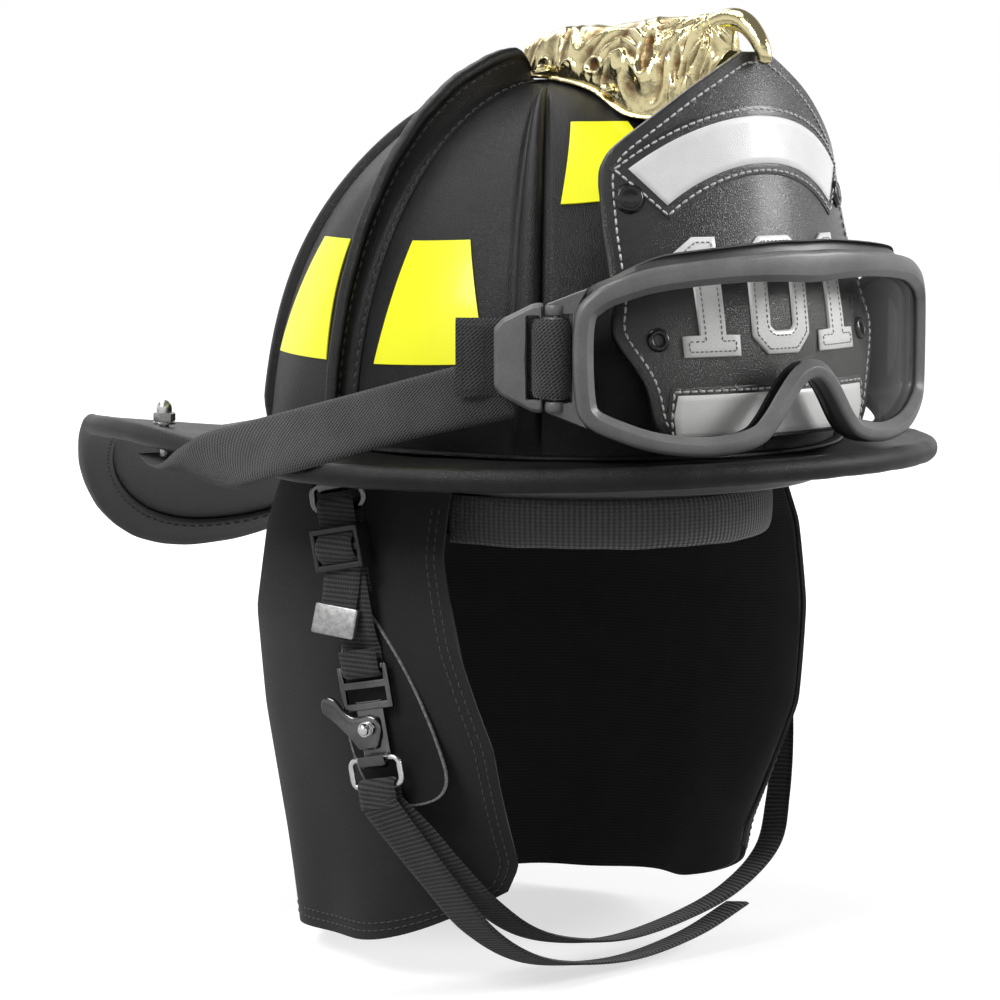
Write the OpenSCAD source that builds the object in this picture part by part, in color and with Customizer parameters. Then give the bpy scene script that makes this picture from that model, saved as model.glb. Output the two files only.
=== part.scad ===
// Leather fire helmet with goggles, neck curtain and chin strap.
// Millimetres. The front is -Y, up is +Z, the wearer's right is -X.
// The origin is the middle of the head opening, where the crown meets the brim.

/* [Crown] */
// Outside width of the leather crown
crown_w = 214; // [211:1:222]
// Outside length of the leather crown
crown_l = 256; // [252:1:260]
// Outside height of the leather crown above the brim
crown_h = 145; // [130:1:155]
// Thickness of the crown leather
crown_t = 4; // [3:0.5:5]
// How square the front of the crown stands, 2 is an ellipse
crown_fullness = 2.34; // [2:0.05:2.6]
// Height of the four sewn combs at the top
comb_h = 15; // [10:1:18]
// Height of the four sewn combs at their foot
comb_foot_h = 8; // [5:1:10]
// Height of the front comb behind the shield
comb_front_h = 4.5; // [3:0.5:6]
// Thickness of a comb at its ridge
comb_t = 6; // [5:0.5:8]
// Height of the small beads pressed between the combs
bead_h = 4.2; // [2:0.2:6]
// Half width of a small bead at the foot of the crown, in degrees round the crown
bead_half = 4.4; // [3:0.2:5.6]
// Where the small beads stand, in degrees from the front and the rear combs
bead_at = 50; // [44:1:54]

/* [Brim] */
// Width of the brim over the middle of its rolled edge
brim_w = 290; // [280:1:300]
// Reach of the rolled edge in front of the origin
brim_front = 165; // [158:1:172]
// Reach of the rolled edge behind the origin
brim_rear = 250; // [235:1:260]
// Thickness of the brim leather
brim_t = 4; // [3:0.5:5]
// Diameter of the rolled edge
roll_d = 9; // [8:0.5:11]
// Width of the sewn hem under the rolled edge
hem_w = 15; // [12:1:20]
// Diameter of the steel wire in the rolled edge
wire_d = 4; // [3:0.5:4.5]
// How far the tail hangs at the middle of the rear
tail_drop = 68; // [50:1:75]
// How far the edge dips at the sides
side_dip = 5; // [2:0.5:8]

/* [Inner cap] */
// Thickness of the impact cap
cap_t = 3; // [2:0.5:4]
// How far the rim of the impact cap hangs below the origin
cap_skirt = 14; // [12:1:18]
// Thickness of the foam liner
foam_t = 13.5; // [11:0.5:14]

/* [Suspension] */
// Inside width of the headband
band_w = 157; // [152:1:159]
// Inside length of the headband
band_l = 197; // [192:1:199]
// Height of the headband
band_h = 28; // [24:1:32]
// Thickness of the headband
band_t = 1.5; // [1.2:0.1:1.6]
// Width of the crown straps
crown_strap_w = 19; // [15:1:22]
// Thickness of the crown straps
crown_strap_t = 1.4; // [1:0.1:1.5]
// Height of the crown straps inside the cap
crown_strap_h = 100; // [90:1:108]
// Diameter of the ratchet knob
knob_d = 30; // [26:1:32]
// Pitch radius of the ratchet pinion
pinion_r = 5; // [4.8:0.1:5.2]

/* [Neck curtain] */
// How far the curtain hangs below the origin at the rear
curtain_drop = 222; // [190:1:240]
// Thickness of the outer cloth
curtain_t = 1.5; // [1:0.1:1.6]
// Thickness of the lining
lining_t = 1; // [0.8:0.1:1.2]
// Depth of the soft folds near the hem
fold_depth = 2.2; // [0:0.2:4]

/* [Front shield] */
// Height of the tip of the shield above the origin
shield_tip = 155; // [148:1:158]
// Height of the lower edge of the shield above the origin
shield_foot = 8; // [6:1:14]
// Half width of the shield at its widest
shield_half = 66; // [60:1:70]
// Thickness of the shield leather
shield_t = 3.6; // [3:0.2:4]
// Thickness of the sewn panels and numerals
panel_t = 1; // [0.8:0.1:1.4]
// Height of the numerals
numeral_h = 45; // [38:1:48]

/* [Holder] */
// Highest point of the brass holder above the origin
holder_top = 172; // [168:1:178]
// Half width of the holder where it is riveted to the crown
holder_half = 20; // [16:1:24]

/* [Goggles] */
// Radius of the front face of the goggles, about the origin
goggle_r = 156; // [154:1:160]
// Half width of the goggles, measured round their face
goggle_half = 101; // [96:1:104]
// Height of the top edge of the goggles above the origin
goggle_top = 80; // [76:1:84]
// Width of the frame round the lens
goggle_bar = 10; // [8:0.5:12]
// Thickness of the lens
lens_t = 2.4; // [2:0.2:3]
// Width of the elastic strap
elastic_w = 31; // [26:1:34]
// Thickness of the elastic strap
elastic_t = 2; // [1.6:0.2:2.4]
// Length of the pivoting strap clips
clip_l = 34; // [30:1:38]
// Diameter of the clip pins
clip_pin_d = 3; // [2.5:0.5:3.5]

/* [Chin strap] */
// Width of the chin webbing
web_w = 17; // [15:1:20]
// Thickness of the chin webbing
web_t = 1.8; // [1.5:0.1:2.2]
// Outward lean of the chin hardware round the helmet, in degrees
chin_turn = 22; // [15:1:30]
// Forward lean of the chin hardware, in degrees
chin_lean = 11; // [6:1:14]
// Diameter of the ring wire
ring_wire_d = 3; // [2.5:0.5:3.5]

/* [Hidden] */
$fn = 48;
// Clearance between solids that lie against each other
seat = 0.3;
// Clearance between a curved shell and the next
shell_gap = 0.8;
// Radial clearance of a turning pin
run = 0.05;
crown_a = crown_w / 2;
crown_b = crown_l / 2;
// Angles round the dome shared by the crown, the cap and the foam, so that their facets stay parallel
dome_turn = [for (k = [0 : 15 : 345]) k];
dome_rise = [0, 8, 18, 28, 38, 48, 58, 68, 78, 85];

function lerp(a, b, k) = a + (b - a) * k;
function unit(v) = v / norm(v);
function smooth(k) = let (c = min(1, max(0, k))) c * c * (3 - 2 * c);
function reversed(s) = [for (i = [len(s) - 1 : -1 : 0]) s[i]];
// Point k (0 to 1) of the smooth curve between p[i] and p[i + 1]
function curve_span(a, b, c, d, k) =
    0.5 * (2 * b + (c - a) * k + (2 * a - 5 * b + 4 * c - d) * k * k + (3 * b - a - 3 * c + d) * k * k * k);
// Open smooth curve through chosen points, n steps a span
function curve(p, n) = let (m = len(p)) concat(
    [for (i = [0 : m - 2], j = [0 : n - 1])
        curve_span(p[max(0, i - 1)], p[i], p[i + 1], p[min(m - 1, i + 2)], j / n)], [p[m - 1]]);
// Value at x of a list of [x, value] rows, eased between rows
function eased(rows, x, i = 0) =
    i > len(rows) - 2 ? rows[len(rows) - 1][1]
    : x <= rows[i + 1][0] ? lerp(rows[i][1], rows[i + 1][1],
        let (k = min(1, max(0, (x - rows[i][0]) / (rows[i + 1][0] - rows[i][0])))) (1 - cos(180 * k)) / 2)
    : eased(rows, x, i + 1);
// Value at x of a list of [x, value] rows, straight between rows
function between(rows, x, i = 0) =
    i > len(rows) - 2 ? rows[len(rows) - 1][1]
    : x <= rows[i + 1][0] ? lerp(rows[i][1], rows[i + 1][1],
        min(1, max(0, (x - rows[i][0]) / (rows[i + 1][0] - rows[i][0]))))
    : between(rows, x, i + 1);
function six_volume(p, f) = [for (t = f) p[t[0]] * cross(p[t[1]], p[t[2]])] * [for (t = f) 1];

// Closed solid through a row of closed sections with equal, even point counts
module skin(s, loop = false) {
    m = len(s);
    n = len(s[0]);
    last = loop ? m - 1 : m - 2;
    points = [for (r = s) each r];
    sides = [for (i = [0 : last], j = [0 : n - 1])
        let (a = i * n + j, b = i * n + (j + 1) % n, c = ((i + 1) % m) * n + j, d = ((i + 1) % m) * n + (j + 1) % n)
        each norm(points[a] - points[d]) < norm(points[b] - points[c]) - 0.001
            ? [[a, b, d], [a, d, c]] : [[a, b, c], [b, d, c]]];
    ends = loop ? [] : [for (j = [0 : n / 2 - 2]) each let (e = (m - 1) * n)
        [[j, n - 1 - j, j + 1], [j + 1, n - 1 - j, n - 2 - j],
            [e + j, e + j + 1, e + n - 1 - j], [e + j + 1, e + n - 2 - j, e + n - 1 - j]]];
    faces = concat(sides, ends);
    outward = six_volume(points, faces) < 0;
    polyhedron(points, outward ? faces : [for (t = faces) [t[0], t[2], t[1]]], convexity = 12);
}
// Flat strip of thickness t along a path, seen from its edge
module ribbon(path, t) {
    n = len(path);
    side = [for (i = [0 : n - 1]) let (along = unit(path[min(n - 1, i + 1)] - path[max(0, i - 1)])) [along[1], -along[0]] * t / 2];
    polygon(concat(path + side, reversed(path - side)));
}
// Points on an arc about c, from the angle a to b in steps of 30 degrees
function arc(c, r, a, b) = [for (k = [0 : abs(b - a) / 30]) let (w = a + k * 30 * sign(b - a)) c + r * [cos(w), sin(w)]];
function turned(v, angle) = [v[0] * cos(angle) - v[1] * sin(angle), v[0] * sin(angle) + v[1] * cos(angle), v[2]];

// The crown: a superellipsoid, fuller in front. turn 0 is the front, 90 the wearer's right, rise 90 the top
function crown_power(turn) = 2 + (crown_fullness - 2) * pow(max(0, cos(turn)), 2);
function dome(turn, rise, grow) = let (p = crown_power(turn), c = pow(cos(rise), 2 / p), s = pow(sin(rise), 2 / p))
    [-(crown_a + grow) * c * sin(turn), -(crown_b + grow) * c * cos(turn), (crown_h + grow) * s];
function bead(turn, rise, at) = bead_h * (1 - smooth(abs(turn - at) / bead_half))
    * smooth((rise - 2) / 6) * (1 - smooth((rise - 70) / 8));
function crown_outside(turn, rise, at) = dome(turn, rise, bead(turn, rise, at));

// Front-right or rear-right quarter of the crown, with its small bead
module gore(first, at) {
    seam = 0.15;
    turns = concat([first + seam, first + 15, first + 30],
        [for (k = [-1, -0.5, 0, 0.5, 1]) at + k * bead_half], [first + 60, first + 75, first + 90 - seam]);
    color([0.09, 0.09, 0.09])
        skin([for (t = turns) concat([for (r = dome_rise) crown_outside(t, r, at)],
            [for (r = reversed(dome_rise)) dome(t, r, -crown_t)])]);
}
module crown_gore_front_right() { gore(0, bead_at); }
module crown_gore_front_left() { mirror([1, 0, 0]) gore(0, bead_at); }
module crown_gore_rear_right() { gore(90, 180 - bead_at); }
module crown_gore_rear_left() { mirror([1, 0, 0]) gore(90, 180 - bead_at); }

// Sewn comb standing on a seam of the crown: a flanged foot, a thin web and a rounded ridge
module comb(turn, foot, top, last) {
    rises = [for (k = [0 : 9]) lerp(4, last, k / 9)];
    side = turned([1, 0, 0], -turn);
    color([0.08, 0.08, 0.08]) skin([for (r = rises)
        let (p = dome(turn, r, 1.5 * seat), out = unit(dome(turn, r, 1.5 * seat + 1) - p),
            h = lerp(foot, top, smooth(r / 70)) * (r < 5 ? 0.4 : 1), w = comb_t / 2)
        [for (q = [[-w * 2.4, 0], [-w * 2.2, 1.4], [-w * 0.9, 2.6], [-w * 0.8, h * 0.65], [-w, h * 0.85], [-w * 0.5, h],
            [w * 0.5, h], [w, h * 0.85], [w * 0.8, h * 0.65], [w * 0.9, 2.6], [w * 2.2, 1.4], [w * 2.4, 0]])
            p + side * q[0] + out * q[1]]]);
}
module comb_front() { comb(0, comb_front_h, comb_h * 0.7, 50); }
module comb_right() { comb(90, comb_foot_h, comb_h, 80); }
module comb_rear() { comb(180, comb_foot_h, comb_h, 80); }
module comb_left() { comb(270, comb_foot_h, comb_h, 80); }

// Rolled edge of the brim: an ellipse in front, a fuller curve behind, and a tail that hangs
brim_turns = [for (k = [0 : 8 : 352]) k];
function brim_reach(turn) = let (s = sin(turn), c = cos(turn), p = c > 0 ? 2 : 2.3)
    [-brim_w / 2 * sign(s) * pow(abs(s), 2 / p), -(c > 0 ? brim_front : brim_rear) * sign(c) * pow(abs(c), 2 / p)];
function edge_height(turn) = eased([[0, -1], [78, -side_dip], [112, 0.5], [130, -2]], min(turn, 360 - turn))
    - tail_height(min(turn, 360 - turn));
function tail_height(away) = away < 128 ? 0 : (tail_drop - 2) * sin(90 * pow((away - 128) / 52, 1.15));
function brim_edge(turn) = let (q = brim_reach(turn)) [q[0], q[1], edge_height(turn)];
function brim_hole(turn) = [-(crown_a - crown_t) * sin(turn), -(crown_b - crown_t) * cos(turn), 0];
// Point of the brim's upper face, k = 0 at the hole and 1 at the rolled edge
function brim_top(turn, k) = let (a = brim_hole(turn), b = brim_edge(turn))
    [lerp(a[0], b[0], k), lerp(a[1], b[1], k), (b[2] + roll_d / 2 - 1) * pow(max(0, k - 0.12) / 0.88, 1.4)];
function brim_section(turn) =
    let (a = brim_hole(turn), b = brim_edge(turn), d = [b[0] - a[0], b[1] - a[1]], reach = norm(d), r = roll_d / 2,
        out = d / reach, hem = reach - hem_w, under = [for (k = [0, 0.12, 0.3, 0.6]) brim_top(turn, k)],
        fall = brim_top(turn, 0.98)[2] - brim_top(turn, 0.8)[2], slope = fall / (0.18 * reach),
        hollow = wire_d / 2 + 0.25)
    concat(
        [for (k = [0, 0.12, 0.3, 0.6, 0.85]) brim_top(turn, k)],
        [for (w = [100, 60, 20, -20, -60, -95])
            [b[0] + out[0] * r * cos(w), b[1] + out[1] * r * cos(w), b[2] + r * sin(w)]],
        [for (q = [[hem, -r + 0.3], [hem, -r + 2.4], [reach - hollow - 1, -r + 2.4]])
            [a[0] + out[0] * q[0], a[1] + out[1] * q[0], b[2] + q[1] + (q[0] - reach) * slope]],
        [for (w = [-120, -60, 0, 60, 120])
            [b[0] + out[0] * hollow * cos(w), b[1] + out[1] * hollow * cos(w), b[2] + hollow * sin(w)]],
        [[a[0] + out[0] * (hem + 1), a[1] + out[1] * (hem + 1), b[2] - r + 2.8 - (hem_w - 1) * slope]],
        [for (p = reversed(under)) p - [0, 0, brim_t]]);
module brim() {
    color([0.07, 0.07, 0.07]) difference() {
        skin([for (t = brim_turns) brim_section(t)], loop = true);
        at_bolts() cylinder(d = bolt_d + 0.4, h = 30, center = true);
    }
}
// Steel wire that stiffens the rolled edge
module brim_edge_wire() {
    color("silver") skin([for (t = brim_turns)
        let (a = brim_hole(t), b = brim_edge(t), out = unit([b[0] - a[0], b[1] - a[1]]), r = wire_d / 2)
        [for (w = [-120, -60, 0, 60, 120, 180]) b + [out[0] * r * cos(w), out[1] * r * cos(w), r * sin(w)]]],
        loop = true);
}

// Reflective trapezoids: rows of [lower turns, upper turns, lower rise, upper rise]
trapezoids = [[[58, 83], [64, 79], 13.5, 34], [[97, 122], [101, 116], 13.5, 34], [[15, 43], [17, 38], 40, 60]];
module trapezoid(q) {
    steps = [0, 1 / 3, 2 / 3, 1];
    skin([for (k = steps) let (turns = [for (j = steps) lerp(lerp(q[0][0], q[0][1], k), lerp(q[1][0], q[1][1], k), j)],
        rises = [for (j = steps) lerp(q[2], q[3], j)])
        concat([for (j = [0 : 3]) dome(turns[j], rises[j], 1.1)], [for (j = [3 : -1 : 0]) dome(turns[j], rises[j], 0.6)])]);
}
module reflective_trapezoids() {
    color([0.95, 1, 0.1]) for (q = trapezoids, m = [0, 1]) mirror([m, 0, 0]) trapezoid(q);
    color([0.95, 1, 0.1]) for (m = [0, 1]) mirror([m, 0, 0]) trapezoid([[141, 166], [145, 162], 13.5, 34]);
}

// Closed cup: rings of the outside from the rim up, and of the inside
module cup(outside, inside, skirt) {
    outer = concat([[for (t = dome_turn) let (p = dome(t, 0, outside)) [p[0], p[1], -skirt]]],
        [for (r = dome_rise) [for (t = dome_turn) dome(t, r, outside)]]);
    inner = concat([[for (t = dome_turn) let (p = dome(t, 0, inside)) [p[0], p[1], -skirt]]],
        [for (r = dome_rise) [for (t = dome_turn) dome(t, r, inside)]]);
    skin(concat(reversed(inner), outer));
}
cap_outside = -crown_t - shell_gap;
foam_outside = cap_outside - cap_t - seat;
foam_inside = foam_outside - foam_t;
module impact_cap() { color([0.04, 0.04, 0.04]) cup(cap_outside, cap_outside - cap_t, cap_skirt); }
module foam_liner() { color([0.85, 0.83, 0.75]) cup(foam_outside, foam_inside, 1); }

// Head oval grown by g, at a turn
function oval(turn, g, z) = [-(band_w / 2 + g) * sin(turn), -(band_l / 2 + g) * cos(turn), z];
function oval_side(turn) = unit(oval(turn + 1, 0, 0) - oval(turn - 1, 0, 0));
band_top = -6;
band_low = band_top - band_h;
// Three webbing straps cross over the head and end between the headband and the clips
crown_strap_turns = [30, 90, 150];
module crown_straps() {
    color([0.15, 0.15, 0.15]) for (i = [0 : 2]) let (turn = crown_strap_turns[i], side = oval_side(turn))
        skin([for (k = [-95 : 10 : 95])
            let (g = band_t + seat + 0.1, flat = min(90, abs(k)), q = oval(turn, g, 0) * sin(flat) * sign(k),
                z = (crown_strap_h + i * (crown_strap_t + seat)) * cos(flat) - 12 * max(0, abs(k) - 90) / 5,
                in = [q[0], q[1], z], out = oval(turn, g + crown_strap_t, 0) * sin(flat) * sign(k),
                over = [out[0], out[1], z + crown_strap_t * cos(flat)], w = side * crown_strap_w / 2)
            [in - w, in + w, over + w, over - w]]);
}
// Keys that carry the crown straps and the headband under the foam
module suspension_clips() {
    color([0.2, 0.2, 0.2]) for (turn = [for (i = [0 : 2], h = [0, 180]) crown_strap_turns[i] + h])
        let (p = oval(turn, band_t + crown_strap_t + 3 * seat, 0), side = oval_side(turn) * crown_strap_w / 2,
            out = dome(turn, 0, cap_outside - cap_t - curtain_inset - curtain_t - lining_t - 5 * seat))
        skin([for (z = [-13, -1.6]) [for (q = [p - side, p + side, out + side, out - side]) [q[0], q[1], z]]]);
}
module headband() {
    last = 156;
    color([0.12, 0.12, 0.12]) skin([for (t = [-last : 12 : last])
        [oval(t, 0, band_low), oval(t, 0, band_top), oval(t, band_t, band_top), oval(t, band_t, band_low)]]);
}
// Knitted pad folded round the lower edge of the headband in front
module brow_pad() {
    in = -3.2;
    out = band_t + 2.4;
    color([0.3, 0.3, 0.3]) skin([for (t = [-72 : 12 : 72])
        [oval(t, in, band_top - 2), oval(t, in - 0.8, band_low + 8), oval(t, in, band_low - 1),
            oval(t, -0.5, band_low - 3), oval(t, band_t, band_low - 3), oval(t, out, band_low),
            oval(t, out, band_low + 14), oval(t, band_t + seat, band_low + 15),
            oval(t, band_t + seat, band_low - seat), oval(t, -seat, band_low - seat),
            oval(t, -seat, band_low + 14), oval(t, -seat, band_top - 2)]]);
}

// Ratchet at the nape. Racks slide round an upright axis behind the middle of the head
nape_r = pow(band_w, 2) / (2 * band_l) + 3.94;
nape_y = band_l / 2 + band_t - nape_r - 0.5;
rack_z = band_low - 3;
rack_h = 15;
rack_t = 1.2;
rack_in = nape_r + 1.1;
rack_out = rack_in + rack_t + seat;
housing_back = rack_out + rack_t + 3.2;
teeth = 10;
tooth_depth = 1.3;
module at_nape() { translate([0, nape_y, rack_z]) children(); }
// Wall round the nape axis, from the angle a to b on the wearer's right, z centred
module nape_wall(r, thick, high, a, b) {
    rotate([0, 0, 90 + a]) rotate_extrude(angle = b - a, $fn = 96)
        translate([r, -high / 2]) square([thick, high]);
}
module ratchet_housing() {
    color([0.1, 0.1, 0.1]) at_nape() difference() {
        nape_wall(rack_in - 2.4, housing_back - rack_in + 2.4, rack_h + 8, -21, 21);
        nape_wall(rack_in - 0.2, 2 * rack_t + seat + 0.4, rack_h + 0.5, -30, 30);
        rotate([-90, 0, 0]) cylinder(r = pinion_r + 1.4, h = housing_back - 1);
        translate([0, rack_in - 4, 0]) rotate([-90, 0, 0]) cylinder(d = 3.1, h = 40);
    }
}
module rack(r, edge) {
    pitch = 360 * pinion_r / teeth / (r + rack_t / 2);
    color([0.75, 0.75, 0.72]) at_nape() {
        difference() {
            nape_wall(r, rack_t, rack_h, -18, 36);
            translate([0, 0, edge * 0.275]) nape_wall(r - 1, rack_t + 2, 2 * pinion_r + 2.15, -15, 15);
        }
        for (k = [-4 : 4]) rotate([0, 0, 90 + k * pitch]) translate([r, 0, edge * (pinion_r + 1.35)])
            rotate([90 - 90 * edge, 0, 0]) rack_tooth();
    }
}
module rack_tooth() {
    rotate([0, 90, 0]) linear_extrude(rack_t)
        polygon([[-0.3, -0.75], [-0.3, 0.75], [tooth_depth, 0.3], [tooth_depth, -0.3]]);
}
module ratchet_rack_right() { rack(rack_in, -1); }
module ratchet_rack_left() { mirror([1, 0, 0]) rack(rack_out, 1); }
module at_knob() { translate([0, nape_y, rack_z]) rotate([-90, 0, 0]) children(); }
module ratchet_pinion() {
    color("silver") at_knob() translate([0, 0, rack_in]) difference() {
        union() {
            cylinder(r = pinion_r - 0.8, h = 2 * rack_t + seat);
            for (k = [0 : teeth - 1]) rotate([0, 0, k * 360 / teeth]) linear_extrude(2 * rack_t + seat)
                polygon([[pinion_r - 1.2, -0.8], [pinion_r + 0.5, -0.3], [pinion_r + 0.5, 0.3], [pinion_r - 1.2, 0.8]]);
        }
        translate([0, 0, -1]) cylinder(d = 3 + run, h = 10);
    }
}
module ratchet_knob() {
    front = housing_back + 0.4;
    color([0.1, 0.1, 0.1]) at_knob() {
        translate([0, 0, rack_in - 2.2]) cylinder(d = 3, h = front - rack_in + 3);
        difference() {
            translate([0, 0, front]) cylinder(d = knob_d, h = 7);
            for (k = [0 : 11]) rotate([0, 0, k * 30]) translate([knob_d / 2 + 1.2, 0, front - 1]) cylinder(r = 2.4, h = 9);
            translate([0, 0, front + 5]) cylinder(d = knob_d * 0.55, h = 4);
        }
    }
}

// Neck curtain, sewn inside the rim of the cap: rows of [height, half width, rear, middle, front radius, front edge]
curtain_inset = 1.7;
curtain_a = crown_a + cap_outside - cap_t - curtain_inset;
curtain_b = crown_b + cap_outside - cap_t - curtain_inset;
curtain_rows = [[-3, curtain_a, curtain_b, 0, curtain_b, -45],
    [-cap_skirt - 0.5, curtain_a, curtain_b, 0, curtain_b, -46],
    [-22, crown_a - 7, crown_b + 1, 1, crown_b - 2, -47], [-40, crown_a - 1, crown_b + 4, 5, crown_b + 12, -50],
    [-75, crown_a + 3, crown_b + 7, 10, crown_b + 8, -57], [-115, crown_a, crown_b + 1, 14, crown_b, -65],
    [-165, crown_a - 9, crown_b - 9, 22, crown_b - 24, -57], [-200, crown_a - 15, crown_b - 16, 24, crown_b - 28, -42],
    [-245, crown_a - 21, crown_b - 22, 24, crown_b - 32, -30]];
function curtain_value(z, i) = between([for (r = reversed(curtain_rows)) [r[0], r[i]]], z);
function curtain_point(s, k, g) = let (
    away = abs(s), corner = max(0, away - 0.72) / 0.28,
    low = -curtain_drop + 12 * away * away + 34 * corner * corner,
    z = lerp(-3, low, k), a = curtain_value(z, 1), rear = curtain_value(z, 2), mid = curtain_value(z, 3),
    front = curtain_value(z, 4), reach = 90 + asin((mid - curtain_value(z, 5)) / front), w = away * reach,
    fold = fold_depth * k * k * sin(s * 1260) + g)
    [sign(s) * (a + fold) * sin(w), mid + (w < 90 ? rear - mid + fold : front + fold) * cos(w), z];
curtain_down = [0, 0.055, 0.09, 0.17, 0.34, 0.52, 0.76, 1];
module curtain_layer(outside, thick) {
    skin([for (s = [-1 : 1 / 18 : 1]) concat([for (k = curtain_down) curtain_point(s, k, outside)],
        [for (k = reversed(curtain_down)) curtain_point(s, k, outside - thick)])]);
}
module neck_curtain() { color([0.13, 0.13, 0.13]) curtain_layer(0, curtain_t); }
module curtain_lining() { color([0.05, 0.05, 0.05]) curtain_layer(-curtain_t - seat, lining_t); }

// Front shield: bowed across and leaning back, with the middle of its front face at shield_y
shield_y = -crown_b - 10;
// How far the middle of the shield leans back at height z, and how much it is bowed across there
function shield_lean(z) = 0.00273 * pow(z - 25, 2) - 0.0000134 * pow(max(0, z - 25), 3);
function shield_bow(z) = eased([[20, 0.0032], [105, 0.006], [155, 0.0052]], z);
function shield_face(x, z, g) = [x, shield_y - g + shield_lean(z) + shield_bow(z) * x * x, z];
module shield_slab(from, to) {
    rows = [for (k = [0 : 11]) lerp(shield_foot - 2, shield_tip + 2, k / 11)];
    wide = shield_half * 1.08;
    skin([for (k = [-1 : 1 / 8 : 1]) concat([for (z = rows) shield_face(k * wide, z, to)],
        [for (z = reversed(rows)) shield_face(k * wide, z, from)])]);
}
module upright(far = 200) { rotate([90, 0, 0]) linear_extrude(far) children(); }
// Outline of the right half of the shield from the tip down, as shares of its height and half width
shield_outline = [[0.1, 1], [0.3, 0.95], [0.53, 0.885], [0.855, 0.77], [0.945, 0.715], [0.968, 0.67], [0.972, 0.62],
    [0.985, 0.54], [0.995, 0.46], [1.015, 0.37], [1.055, 0.3], [1.035, 0.25], [0.92, 0.15], [0.865, 0.05], [0.8, 0]];
function shield_edge() = [for (q = curve(shield_outline, 3))
    [q[0] * shield_half, lerp(shield_foot, shield_tip, q[1])]];
module shield_plan() {
    edge = shield_edge();
    polygon(concat(edge, [for (q = reversed(edge)) [-q[0], q[1]]]));
}
module on_shield(from, to) {
    intersection() {
        shield_slab(from, to);
        upright() children();
    }
}
module front_shield() { color([0.06, 0.06, 0.06]) on_shield(-shield_t, 0) shield_plan(); }
rocker_r = 84.5;
rocker_w = 18;
rocker_z = 130.5 - rocker_r;
module rocker_panel() {
    color("white") on_shield(seat, seat + panel_t) translate([0, rocker_z]) intersection() {
        difference() {
            circle(r = rocker_r);
            circle(r = rocker_r - rocker_w);
        }
        polygon([[0, 0], [-90, 107], [-90, 130], [90, 130], [90, 107]]);
    }
}
module name_panel() {
    color("white") on_shield(seat, seat + panel_t) translate([0, 10]) polygon(
        [[-48.5, 0], [48.5, 0], [50, 8], [48.5, 16], [-48.5, 16], [-50, 8]]);
}
numeral_z = 40;
module numeral_one() {
    h = numeral_h;
    polygon([[-12, 0], [12, 0], [12, 8], [6, 8], [6, h], [-3, h], [-12, h - 7], [-12, h - 14], [-5, h - 11],
        [-5, 8], [-12, 8]]);
}
module numeral_zero() {
    h = numeral_h;
    difference() {
        polygon([[-8, 0], [8, 0], [15, 7], [15, h - 7], [8, h], [-8, h], [-15, h - 7], [-15, 7]]);
        polygon([[-4, 9], [4, 9], [6, 11], [6, h - 11], [4, h - 9], [-4, h - 9], [-6, h - 11], [-6, 11]]);
    }
}
module shield_numerals() {
    color("white") on_shield(seat, seat + panel_t) translate([0, numeral_z]) {
        for (side = [-1, 1]) translate([side * 33, 0]) numeral_one();
        numeral_zero();
    }
}
// Fasteners on the face of the shield, each square to it
module at_shield(x, z) {
    across = shield_face(x + 0.1, z, 0) - shield_face(x - 0.1, z, 0);
    up = shield_face(x, z + 0.1, 0) - shield_face(x, z - 0.1, 0);
    n = unit(cross(across, up));
    translate(shield_face(x, z, seat)) rotate(acos(n[2]), [-n[1], n[0], 0]) children();
}
module shield_snaps() {
    color([0.05, 0.05, 0.05]) for (x = [-55, 55]) at_shield(x, 99.6) {
        cylinder(d = 11, h = 1.2);
        cylinder(d = 8.5, h = 2.4);
    }
}
module shield_eyelets() {
    color([0.05, 0.05, 0.05]) for (x = [-54, 54]) at_shield(x, 47) difference() {
        cylinder(d = 9, h = 1.4);
        translate([0, 0, -1]) cylinder(d = 4.4, h = 4);
    }
}

// Cast brass holder riveted over the top of the crown. Its round beak hooks over the tip of the shield
function crown_line(y) = crown_h * pow(1 - pow(abs(y) / crown_b, y < 0 ? crown_fullness : 2),
    1 / (y < 0 ? crown_fullness : 2));
function holder_ring(y, z, wing, half, tall) =
    [for (q = [[wing, 0], [wing, min(1.8, tall)], [lerp(half, wing, 0.15), min(3, tall * 0.4)], [half, tall * 0.5],
        [half * 0.8, tall * 0.8], [half * 0.35, tall], [-half * 0.35, tall], [-half * 0.8, tall * 0.8],
        [-half, tall * 0.5], [-lerp(half, wing, 0.15), min(3, tall * 0.4)], [-wing, min(1.8, tall)], [-wing, 0],
        [-half * 0.5, 0], [half * 0.5, 0]])
        let (drop = wing > half + 2 ? q[0] * q[0] / 190 : 0)
        [q[0], y, z + q[1] - drop]];
module front_holder() {
    w = holder_half;
    t = holder_top;
    rod = curve([[-96, t - 8], [-107, t - 4.8], [-115, t - 6], [-121.8, t - 11.5], [-125.5, t - 17.5], [-126, t - 22]], 2);
    end = len(rod) - 1;
    color([0.78, 0.62, 0.25]) {
        skin(concat(
            [for (r = [[12, 0.5, 4, 12], [2, 0.65, 8, 17], [-18, 0.8, 9, 21], [-42, 0.88, 10, 25], [-66, 0.92, 11, 37]])
                holder_ring(r[0], crown_line(r[0]) + 1, w * r[1], r[2], r[3])],
            [holder_ring(-84, t - 42, 13, 11, 39), holder_ring(-103, t - 29, 10, 8, 27),
                holder_ring(-110, t - 17, 7, 6, 13)]));
        skin([for (i = [0 : end])
            let (along = unit(rod[min(end, i + 1)] - rod[max(0, i - 1)]), r = lerp(4.8, 2.5, i / end))
            [for (k = [0 : 45 : 315])
                [r * cos(k), rod[i][0] - along[1] * r * sin(k), rod[i][1] + along[0] * r * sin(k)]]]);
    }
}
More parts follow.
